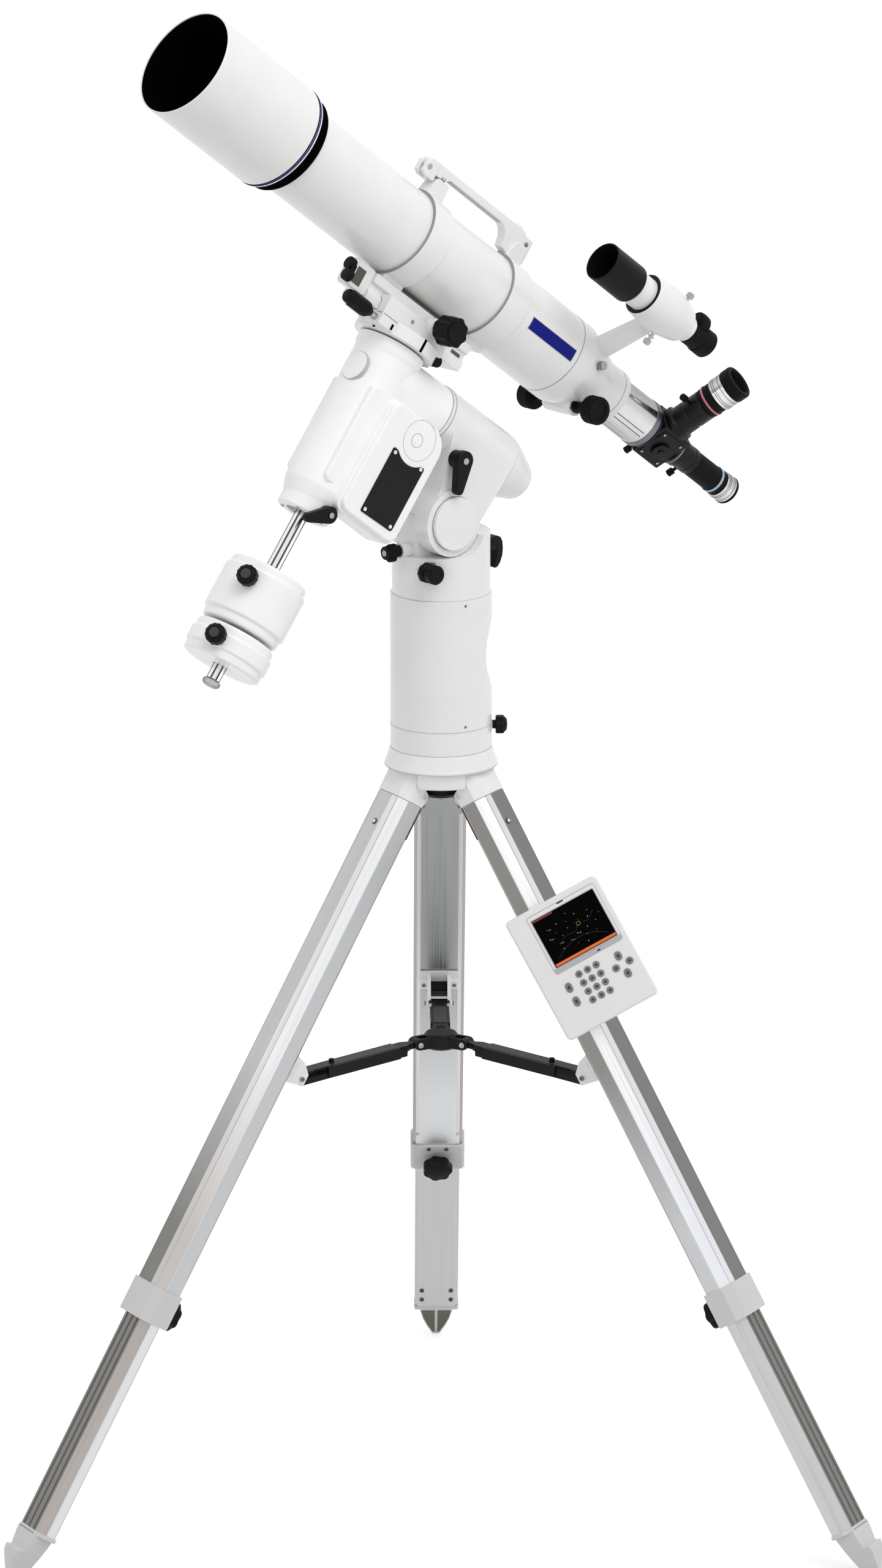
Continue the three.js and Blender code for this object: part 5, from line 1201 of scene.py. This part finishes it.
class TELESCOPE_OT_pillar(TelescopeOperator):
    """Models the half pillar, its knob and the tripod's head"""

    bl_idname = "telescope.pillar"
    bl_label = "Pillar and head"

    def execute(self, context):
        refine("pillar", "white", STAND, 0.8, 2, "pillar_tube")
        fit = fitter("stand", STAND)
        seams = [ring("z", 70.6, 71.12, z, z + 0.8, 0.05, 96) for z in (1102.8, 1136.6)]
        seams.append(ring("z", 78.2, 79.15, 1077.6, 1078.4, 0.05, 96))
        fit("pillar_seams", "faint", *seams)
        dots = []
        for azimuth in (-62, 118):
            for height in (1144, 1316):
                dot = rod("x", 1.9, 70.4, 71.3, 0.1, 16, (0, 0, height))
                dots.append(moved(dot, turned(azimuth)))
        fit("pillar_screws", "keys", *dots)

        body = [
            (6.4, 1047), (28, 1047), (28, 1055), (62, 1055), (62, 1078), (78.4, 1078), (79, 1078.8),
            (79, 1081), (77.6, 1083.4), (71.4, 1102), (71, 1103), (6.4, 1103),
        ]
        shapes = [lathe("z", body, 0.7, 96)]
        for azimuth in AZIMUTHS.values():
            skirt = wrap(58, 74, -27.5, 27.5, 1055.5, 1079, 1.6, 17)
            shapes.append(moved(skirt, turned(azimuth + 60)))
        fit("head_casting", "white", *shapes, replaces="tripod_head")
        knob = [(0, 1049), (29, 1049), (31, 1046), (30, 1037), (25, 1032), (12, 1031), (0, 1031)]
        fit("head_knob", "knob", lathe("z", knob, 0.8, 64))
        bolt = [(0, 1033), (8.6, 1033), (8.6, 1027), (5, 1025), (0, 1025)]
        fit("head_bolt", "steel", lathe("z", bolt, 0.6, 6))

        fit = fitter("pillar_screw", STAND)
        grip = [
            rod("x", 6.2, 71.4, 78, 0.6, 32), slab("x", lobed(13.6, 6, 1.8), 76, 88, 2.0, 3),
            lathe("x", [(0, 84), (11.4, 84), (11.4, 88), (8, 91.6), (0, 92.6)], 1.0, 40),
        ]
        fit("pillar_grip", "knob", *grip, at=shift(0, 0, 1132.5), replaces="pillar_knob")
        return {"FINISHED"}


UPPER_SECTION = [(32.5, 1.3), (36.5, 5.3), (36.5, 27.3), (24.5, 39.3)]
LOWER_SECTION = [(32.6, 9.2), (32.6, 23.4), (20.6, 35.4)]
COLLAR_START = 748
PIN_END, PIN_RADIUS, TONGUE_SIDE = 33.5, 5, 20.2
FOOT_TOP = -1150


class TELESCOPE_OT_legs(TelescopeOperator):
    """Models the legs, their collars, knobs, feet and brackets"""

    bl_idname = "telescope.legs"
    bl_label = "Legs"

    def execute(self, context):
        for side in SIDES:
            self.upper(side)
            self.lower(side)
        return {"FINISHED"}

    def upper(self, side):
        where = LEG[side]
        fit = fitter(f"leg_{side}", where)
        casting = shape_of(f"leg_casting_{side}", where)
        # the hinge pin's ends are drawn in to the sides of the tongue
        pin_ends = [
            vert for vert in casting.verts
            if abs(vert.co.x) > PIN_END - 1 and math.hypot(vert.co.y, vert.co.z) < PIN_RADIUS + 1
        ]
        bmesh.ops.scale(casting, vec=(TONGUE_SIDE / PIN_END, 1, 1), verts=pin_ends)
        cheek = [(19.5, 0.3), (33.5, 0.3), (37.5, 4.3), (37.5, 13.4), (19.5, 13.4)]
        cheeks = []
        for way in (-1, 1):
            cheeks.append(slab("z", [(way * x, y) for x, y in cheek], -11.8, 0, 0.3))
            cheeks.append(block(sorted((way * 19.5, way * 37.5)), (9.4, 13.4), (-1, 13), 0.3))
        fit(f"leg_casting_{side}_body", "white", soften(casting, 1.4, 3), *cheeks,
            replaces=f"leg_casting_{side}")

        inner, edge, shoulder, crown = UPPER_SECTION
        face = crown[1]
        tube = soften(shape_of(f"upper_leg_{side}", where, 0.2 - COLLAR_START), 0.5)
        section = mirrored(UPPER_SECTION)
        fit(f"upper_leg_{side}_tube", "leg", tube, slab("z", section, -770, -742, 0))
        collar = shape_of(f"upper_leg_{side}", where, None, -COLLAR_START)
        squeeze = shift(0, 0, -769) @ Matrix.Scale(0.72, 4, (0, 0, 1)) @ shift(0, 0, COLLAR_START)
        fit(f"leg_collar_{side}", "cast", soften(moved(collar, squeeze), 1.0), replaces=f"upper_leg_{side}")
        screws = [screw("y", -2.4, -1.4, 3.2, (x, 0, -775)) for x in (-13, 13)]
        fit(f"leg_collar_{side}_screws", "groove", *screws)

        low, high = -768.6, -13
        # the painted highlight stripe is on the side that faces the front
        lit_side = 1 if (where.to_3x3() @ Vector((1, 0, 0))).y < 0 else -1
        painted_highlight_stripe = sorted(((lit_side * 24, face), (lit_side * 10, face)), reverse=True)
        painted_shade_rest = sorted(((lit_side * 9.6, face), (-lit_side * 24.2, face)), reverse=True)
        # painted highlight and shade: each face of the leg gets a lit or shaded copy of the leg metal, and which
        # copy also depends on the leg
        fit(f"upper_leg_{side}_bands", "bright" if side == "left" else "shine",
            *strips(shoulder, crown, low, high, inset=0.5), strip(*painted_highlight_stripe, low, high))
        fit(f"upper_leg_{side}_sides", "flank" if side == "right" else "mid",
            *strips(edge, shoulder, low, high, inset=0.7))
        fit(f"upper_leg_{side}_face", "dull" if side == "right" else "outer", strip(*painted_shade_rest, low, high, 0.1))
        fit(f"upper_leg_{side}_inside", "inside",
            strip((-27, inner[1]), (27, inner[1]), low, high, 0.1),
            block((-19.4, 19.4), (-12.9, -11.9), (-11, 8), 0.3),
            strip((-33, 0.1), (33, 0.1), -62, -12.5, 0.2))
        fit(f"upper_leg_{side}_lines", "warm",
            *strips(inner, edge, low, high), *strips((24.6, face), (24, face), low, high, 0.3))
        fit(f"leg_screws_{side}", "groove", screw("y", face, 1.2, 4.6, (0, 0, -57)))
        fit(f"leg_screw_caps_{side}", "white", rod("y", 2.6, face + 0.3, face + 2.1, 0.3, 24, (0, 0, -57)))

        bracket = soften(shape_of(f"spreader_bracket_{side}", where), 0.8)
        plates = [
            block((-27, 27), (-1.8, 1), (-412, -388), 0.8),
            block((-27, -12), (-7, 1), (-420, -402), 1.0), block((12, 27), (-7, 1), (-420, -402), 1.0),
        ]
        fit(f"spreader_bracket_{side}_stop", "arm", block((-12.6, 12.6), (-14, -1.5), (-428, -408), 1.0),
            block((-15, 15), (-17, -12), (-414, -409), 0.8))
        fit(f"spreader_bracket_{side}_body", "white", bracket, *plates, replaces=f"spreader_bracket_{side}")
        heads = [screw("x", x, math.copysign(2.2, x), 3.4, (0, -30.5, -423.8)) for x in (-19, 19)]
        heads += [screw("y", -7, -1.6, 3, (x, 0, -411)) for x in (-22, 22)]
        fit(f"spreader_bracket_{side}_screws", "keys", *heads)

        fit = fitter(f"leg_screw_{side}", where)
        grip = [
            slab("y", lobed(22.5, 7, 2.6), -25, -11, 2.8, 3), rod("y", 11, -13, -5.6, 0.8, 36),
            lathe("y", [(0, -20), (16, -20), (16, -25.4), (12, -27), (0, -27.4)], 0.8, 40),
        ]
        fit(f"leg_grip_{side}", "knob", *grip, at=shift(0, 0, -800), replaces=f"leg_clamp_knob_{side}")

    def lower(self, side):
        where = LEG[side]
        fit = fitter(f"foot_leg_{side}", where)
        node = f"lower_leg_{side}"
        edge, shoulder, crown = LOWER_SECTION
        face = crown[1]
        fit(f"{node}_tube", "lower", soften(shape_of(node, where, -1145.95), 0.4))
        # painted highlight and shade: the lower leg's faces get lit or shaded copies of the leg metal, other ones
        # on the left leg, and dark strips stand for the shade in the face's grooves
        low, high = -1145.6, -520.5
        fit(f"{node}_bands", "warm" if side == "left" else "lower",
            *strips(shoulder, crown, low, high, inset=0.4))
        fit(f"{node}_face", "dull", strip((20.4, face), (-20.4, face), low, high, 0.05))
        fit(f"{node}_sides", "leg" if side == "left" else "lower",
            *strips(edge, shoulder, low, high, inset=0.6))
        lines = [strip((x + 2, face), (x - 2, face), low, high, 0.15) for x in (-14, 0, 14)]
        fit(f"{node}_grooves", "groove", *lines)

        outline = [
            (4.2, -1148), (4.2, FOOT_TOP), (10.9, -1215), (29.7, -1226.4), (45.4, -1190), (45.4, -1180),
            (36.4, -1178), (36.4, -1148),
        ]
        foot = slab("x", outline, -24.5, 24.5, 0)
        curve = [(24.5, -1156), (20.5, -1176), (14, -1196), (3, -1222)]
        for (x, z), (next_x, next_z) in zip(curve, curve[1:]):
            for way in (-1, 1):
                trim(foot, (way * x, 0, z), (way * (z - next_z), 0, next_x - x))
        sleeve = slab("z", mirrored([(32.6, 4.4), (33.6, 8), (33.6, 24), (21, 36.4)]), -1152, -1146, 1.0)
        fit(f"foot_{side}", "cast", soften(foot, 1.2, 3), sleeve, replaces=node)
        rivets = [screw("y", 5.2, -1.6, 3.4, (x, 0, z)) for x in (-22, 22) for z in (-1129, -1108)]
        fit(f"foot_rivets_{side}", "groove", *rivets)
        # painted shade: two dark sheets on the foot's inner face stand for the shade in its hollows
        half = [(2.2, -4), (22.4, -4), (19, -24), (13, -42), (5, -60), (2.2, -61)]
        hollows = [slab("y", [(way * x, z) for x, z in half], -0.5, 0.5, 0.2) for way in (-1, 1)]
        fit(f"foot_hollows_{side}", "hollow", *hollows, at=shift(0, 4.2, FOOT_TOP) @ turned(5.9, "X"))


class TELESCOPE_OT_spreader(TelescopeOperator):
    """Models the spreader's hub and arms"""

    bl_idname = "telescope.spreader"
    bl_label = "Spreader"

    def execute(self, context):
        refine("spreader_hub", "arm", STAND, 1.4, 3, "spreader_hub_body")
        fit = fitter("spreader", STAND)
        rivets = []
        for azimuth in AZIMUTHS.values():
            for side in (-1, 1):
                rivet = screw("x", side * 11, side * 2, 4.2, (0, HUB_REACH, HUB_HEIGHT))
                rivets.append(moved(rivet, turned(azimuth - 90)))
        fit("spreader_rivets", "steel", *rivets)
        for side in SIDES:
            fit = fitter(f"arm_{side}", ARM[side])
            arm = soften(shape_of(f"spreader_arm_{side}", ARM[side]), 0.8)
            skirt = [(20, 4.5), (ARM_LENGTH - 1, 4.5), (ARM_LENGTH - 1, -13), (22, -11)]
            skirts = [slab("x", skirt, low, high, 0.4) for low, high in ((-11, -9.4), (9.4, 11))]
            skirts.append(block((-14, 14), (34, ARM_LENGTH - 46), (-11.5, 5), 0.8))
            fit(f"arm_{side}_channel", "arm", arm, *skirts, replaces=f"spreader_arm_{side}")
            end = [block((-15, 15), (ARM_LENGTH - 22, ARM_LENGTH - 1), (4, 7), 0.8)]
            end.append(block((-11, 11), (ARM_LENGTH - 48, ARM_LENGTH - 20), (4, 6), 0.8))
            fit(f"arm_{side}_end", "arm", *end)
            fit(f"arm_{side}_top", "legend", block((-9, 9), (36, ARM_LENGTH - 48), (4.8, 5.4), 0.2))
            if side != "rear":
                catch = [(0, 4), (4.4, 4), (3.4, 8), (4, 11), (0, 12)]
                fit(f"arm_{side}_catch", "knob", lathe("z", catch, 0.6, 28, (0, 138, 0)))
        return {"FINISHED"}


class TELESCOPE_OT_controller(TelescopeOperator):
    """Models the hand controller with a made-up star map on its screen"""

    bl_idname = "telescope.controller"
    bl_label = "Hand controller"

    def execute(self, context):
        fit = fitter("controller", FACE)
        body = slab("z", rounded(70.8, 93, 7, (-2, -0.4)), 0.4, 27.6, 3, 4)
        fit("controller_body", "plastic", body, replaces="hand_controller")
        centre, half = (8.6, 40.8), (48, 36.4)
        frame_outline = rounded(half[0] + 5, half[1] + 8, 4, (centre[0], centre[1] - 0.6))
        fit("controller_bezel", "bezel", slab("z", frame_outline, 27, 28.2, 0.5))
        lip = rounded(half[0] + 4.2, half[1] + 3.6, 3, (centre[0], centre[1] + 2.6))
        fit("controller_bezel_lip", "plastic", slab("z", lip, 27.4, 28.5, 0.3))
        inner = rounded(half[0] + 1.4, half[1] + 1.4, 2, centre)
        fit("controller_screen_edge", "bezel", slab("z", inner, 27.5, 28.65, 0.2))
        face = 28.8
        fit("controller_screen", "screen", slab("z", rounded(*half, 1.2, centre), 27.6, face, 0.2))
        fit("screen_bar", "orange", block((-38, 55.8), (5.6, 9.4), (face, face + 0.15), 0))
        fit("screen_tab", "red", block((-38.6, -8), (74, 76.4), (face, face + 0.15), 0))
        stars, marks = [], []
        for i in range(24):
            turn, reach = 2.4 * i, math.sqrt((i + 0.6) / 24)
            x, y = centre[0] + 43 * reach * math.cos(turn), centre[1] + 1 + 26 * reach * math.sin(turn)
            size = (0.38, 0.55, 0.8)[i % 3]
            stars.append(rod("z", size, face, face + 0.2, 0, 10, (x, y, 0)))
            if i % 5 == 2:
                marks.append(block((x + 1.6, x + 5.4), (y - 1.6, y - 0.8), (face, face + 0.15), 0))
        fit("screen_stars", "star", *stars)
        fit("screen_labels", "lime", *marks)
        path = [(-20, 30), (-6, 38), (8, 36), (17, 45), (30, 42), (44, 52)]
        lines = []
        for (x, y), (next_x, next_y) in zip(path, path[1:]):
            length, lean = math.hypot(next_x - x, next_y - y), math.atan2(next_y - y, next_x - x)
            line = block((0.9, length - 0.9), (-0.14, 0.14), (face, face + 0.1), 0)
            lines.append(moved(line, shift(x, y) @ Matrix.Rotation(lean, 4, "Z")))
        lines.append(shifted(wrap(59.7, 60, 50, 130, face, face + 0.1, 0, 25), centre[0], -32))
        fit("screen_lines", "dim", *lines)
        target = [block((x, x + 0.4), (42, 47), (face, face + 0.15), 0) for x in (14, 19)]
        target += [block((14, 19.4), (y, y + 0.4), (face, face + 0.15), 0) for y in (42, 46.6)]
        fit("screen_target", "lime", *target)

        keys = [((x, y), 4.6, 4.6) for x in (-16, -2.5, 11) for y in (-17.5, -31, -44.2, -57.5)]
        keys += [
            ((43.5, -21.5), 4.6, 6.2), ((44, -48.5), 4.6, 6.2), ((32.8, -35.2), 5, 4.8),
            ((54.2, -34.6), 5, 4.8), ((-37, -27.5), 4.4, 6.8), ((-37, -49), 4.4, 6.8),
        ]
        caps, rims, legends = [], [], []
        for (x, y), width, height in keys:
            radius = min(width, height) - 0.05
            caps.append(slab("z", rounded(width, height, radius, (x, y)), 27.2, 29.2, 0.6))
            rims.append(slab("z", rounded(width + 0.8, height + 0.8, radius + 0.8, (x, y)), 27.2, 27.9, 0.2))
            centre_outline = rounded(width * 0.42, height * 0.42, radius * 0.42, (x, y))
            legends.append(slab("z", centre_outline, 29, 29.35, 0.1))
        fit("controller_keys", "keys", *caps)
        fit("controller_key_rims", "bezel", *rims)
        fit("controller_key_centres", "legend", *legends)
        slots = [
            slab("z", rounded(5, 1.1, 0.9, (8.4, 82.6)), 27, 28.6, 0.1),
            slab("z", rounded(2.6, 1.1, 0.9, (24, -1.4)), 27, 28.4, 0.1),
        ]
        fit("controller_slots", "legend", *slots)

        fit = fitter("leg_right", BACK)
        back = soften(shape_of("controller_holder", BACK, -88.6), 0.8)
        shelf = block((-20, 20), (-8, 6), (-90.6, -88.6), 0.4)
        fit("holder_body", "black", back, shelf, replaces="controller_holder")
        return {"FINISHED"}


class TELESCOPE_OT_shafts(TelescopeOperator):
    """Gives the two hidden shafts rounded edges and their finish"""

    bl_idname = "telescope.shafts"
    bl_label = "Shafts"

    def execute(self, context):
        refine("ra_shaft", "grey", POLAR)
        refine("dec_shaft", "grey", TUBE)
        return {"FINISHED"}


class TELESCOPE_OT_stage(TelescopeOperator):
    """Makes the floor, the light and the camera"""

    bl_idname = "telescope.stage"
    bl_label = "Stage"

    def execute(self, context):
        make_floor(context.scene.telescope_stage)
        make_light(context.scene)
        make_camera(context.scene)
        return {"FINISHED"}


def seen_rays(nodes, links):
    """One for what the camera, reflections and glass see, and zero for the light that falls on surfaces."""
    path = nodes.new("ShaderNodeLightPath")
    seen = path.outputs["Is Camera Ray"]
    for ray in ("Is Glossy Ray", "Is Transmission Ray"):
        either = nodes.new("ShaderNodeMath")
        either.operation = "MAXIMUM"
        links.new(seen, either.inputs[0])
        links.new(path.outputs[ray], either.inputs[1])
        seen = either.outputs["Value"]
    return seen


def seen_white(material, surface, strength):
    """Adds plain white to what the camera, reflections and glass see, and keeps the shadows."""
    nodes, links = material.node_tree.nodes, material.node_tree.links
    seen = seen_rays(nodes, links)
    glow = nodes.new("ShaderNodeEmission")
    level = nodes.new("ShaderNodeMath")
    level.operation = "MULTIPLY"
    level.inputs[1].default_value = strength
    links.new(seen, level.inputs[0])
    links.new(level.outputs["Value"], glow.inputs["Strength"])
    total = nodes.new("ShaderNodeAddShader")
    links.new(surface, total.inputs[0])
    links.new(glow.outputs["Emission"], total.inputs[1])
    return total.outputs["Shader"]


FLOOR_GAP = 0.0005


def make_floor(stage):
    shape = bmesh.new()
    bmesh.ops.create_grid(shape, x_segments=1, y_segments=1, size=stage.floor_size / 2)
    mesh = bpy.data.meshes.new("floor")
    shape.to_mesh(mesh)
    shape.free()
    mesh.transform(Matrix.Translation((0, 0, CAD_BOX[0].z - FLOOR_GAP)))
    floor = bpy.data.objects.new("floor", mesh)
    bpy.context.scene.collection.objects.link(floor)
    material = bpy.data.materials.new("pale_floor")
    material.use_nodes = True
    nodes, links = material.node_tree.nodes, material.node_tree.links
    shader = nodes["Principled BSDF"]
    shader.inputs["Base Color"].default_value = (0.75, 0.75, 0.75, 1)
    shader.inputs["Roughness"].default_value = 0.9
    shader.inputs["Specular IOR Level"].default_value = 0.0
    shown = seen_white(material, shader.outputs["BSDF"], 0.5)
    links.new(shown, nodes["Material Output"].inputs["Surface"])
    mesh.materials.append(material)


WORLD_LEVEL = 0.74
LAMP_TARGET = Vector((0, 0, 1.2))
LAMPS = (
    ("key_lamp", (2.2, -2.6, 5.6), 3.2, 110.0),
    ("fill_lamp", (-4.5, -3.0, 2.8), 3.0, 10.0),
)


def make_light(scene):
    world = bpy.data.worlds.new("studio")
    world.use_nodes = True
    nodes, links = world.node_tree.nodes, world.node_tree.links
    background = nodes["Background"]
    background.inputs["Color"].default_value = (1, 1, 1, 1)
    seen = seen_rays(nodes, links)
    level = nodes.new("ShaderNodeMapRange")
    level.inputs["To Min"].default_value = WORLD_LEVEL
    level.inputs["To Max"].default_value = 1.0
    links.new(seen, level.inputs["Value"])
    links.new(level.outputs["Result"], background.inputs["Strength"])
    scene.world = world
    for name, spot, size, power in LAMPS:
        light = bpy.data.lights.new(name, "AREA")
        light.size = size
        light.energy = power
        lamp = bpy.data.objects.new(name, light)
        lamp.location = spot
        lamp.rotation_euler = (LAMP_TARGET - Vector(spot)).to_track_quat("-Z", "Y").to_euler()
        scene.collection.objects.link(lamp)


def make_camera(scene):
    stage = scene.telescope_stage
    axis = pivot("azimuth_turn")
    bearing, tilt = stage.camera_bearing, stage.camera_tilt
    spot = Vector((math.sin(bearing), -math.cos(bearing), 0)) * stage.camera_distance
    look = Vector((-math.sin(bearing) * math.cos(tilt), math.cos(bearing) * math.cos(tilt), -math.sin(tilt)))
    lens = bpy.data.cameras.new("camera")
    lens.sensor_fit = "VERTICAL"
    lens.sensor_height = 24
    lens.lens = stage.lens
    lens.clip_end = 300
    camera = bpy.data.objects.new("camera", lens)
    camera.location = Vector((axis.x, axis.y, stage.camera_height)) + spot
    camera.rotation_mode = "QUATERNION"
    camera.rotation_quaternion = look.to_track_quat("-Z", "Y")
    scene.collection.objects.link(camera)
    scene.camera = camera
    scene.view_settings.view_transform = "Standard"


class TELESCOPE_PT_panel(bpy.types.Panel):
    """Lists the pieces and their settings"""

    bl_idname = "TELESCOPE_PT_panel"
    bl_label = "Telescope"
    bl_space_type = "VIEW_3D"
    bl_region_type = "UI"
    bl_category = "Telescope"

    def draw(self, context):
        for group in (context.scene.telescope_look, context.scene.telescope_stage):
            for name in group.bl_rna.properties.keys():
                if name not in ("rna_type", "name"):
                    self.layout.prop(group, name)
        for operator in OPERATORS:
            self.layout.operator(operator.bl_idname)


OPERATORS = (
    TELESCOPE_OT_stage,
    TELESCOPE_OT_tube,
    TELESCOPE_OT_focuser,
    TELESCOPE_OT_eyepieces,
    TELESCOPE_OT_finder,
    TELESCOPE_OT_rings,
    TELESCOPE_OT_saddle,
    TELESCOPE_OT_declination,
    TELESCOPE_OT_polar,
    TELESCOPE_OT_base,
    TELESCOPE_OT_pillar,
    TELESCOPE_OT_legs,
    TELESCOPE_OT_spreader,
    TELESCOPE_OT_controller,
    TELESCOPE_OT_shafts,
)
GROUPS = {
    "telescope_look": TELESCOPE_PG_look,
    "telescope_stage": TELESCOPE_PG_stage,
}
CLASSES = (*GROUPS.values(), *OPERATORS, TELESCOPE_PT_panel)


def register():
    for cls in CLASSES:
        bpy.utils.register_class(cls)
    for name, group in GROUPS.items():
        setattr(bpy.types.Scene, name, PointerProperty(type=group))


def unregister():
    for name in GROUPS:
        delattr(bpy.types.Scene, name)
    for cls in reversed(CLASSES):
        bpy.utils.unregister_class(cls)


def main():
    register()
    make_finishes(bpy.context.scene.telescope_look)
    for operator in OPERATORS:
        group, name = operator.bl_idname.split(".")
        getattr(getattr(bpy.ops, group), name)()


if __name__ == "__main__":
    main()
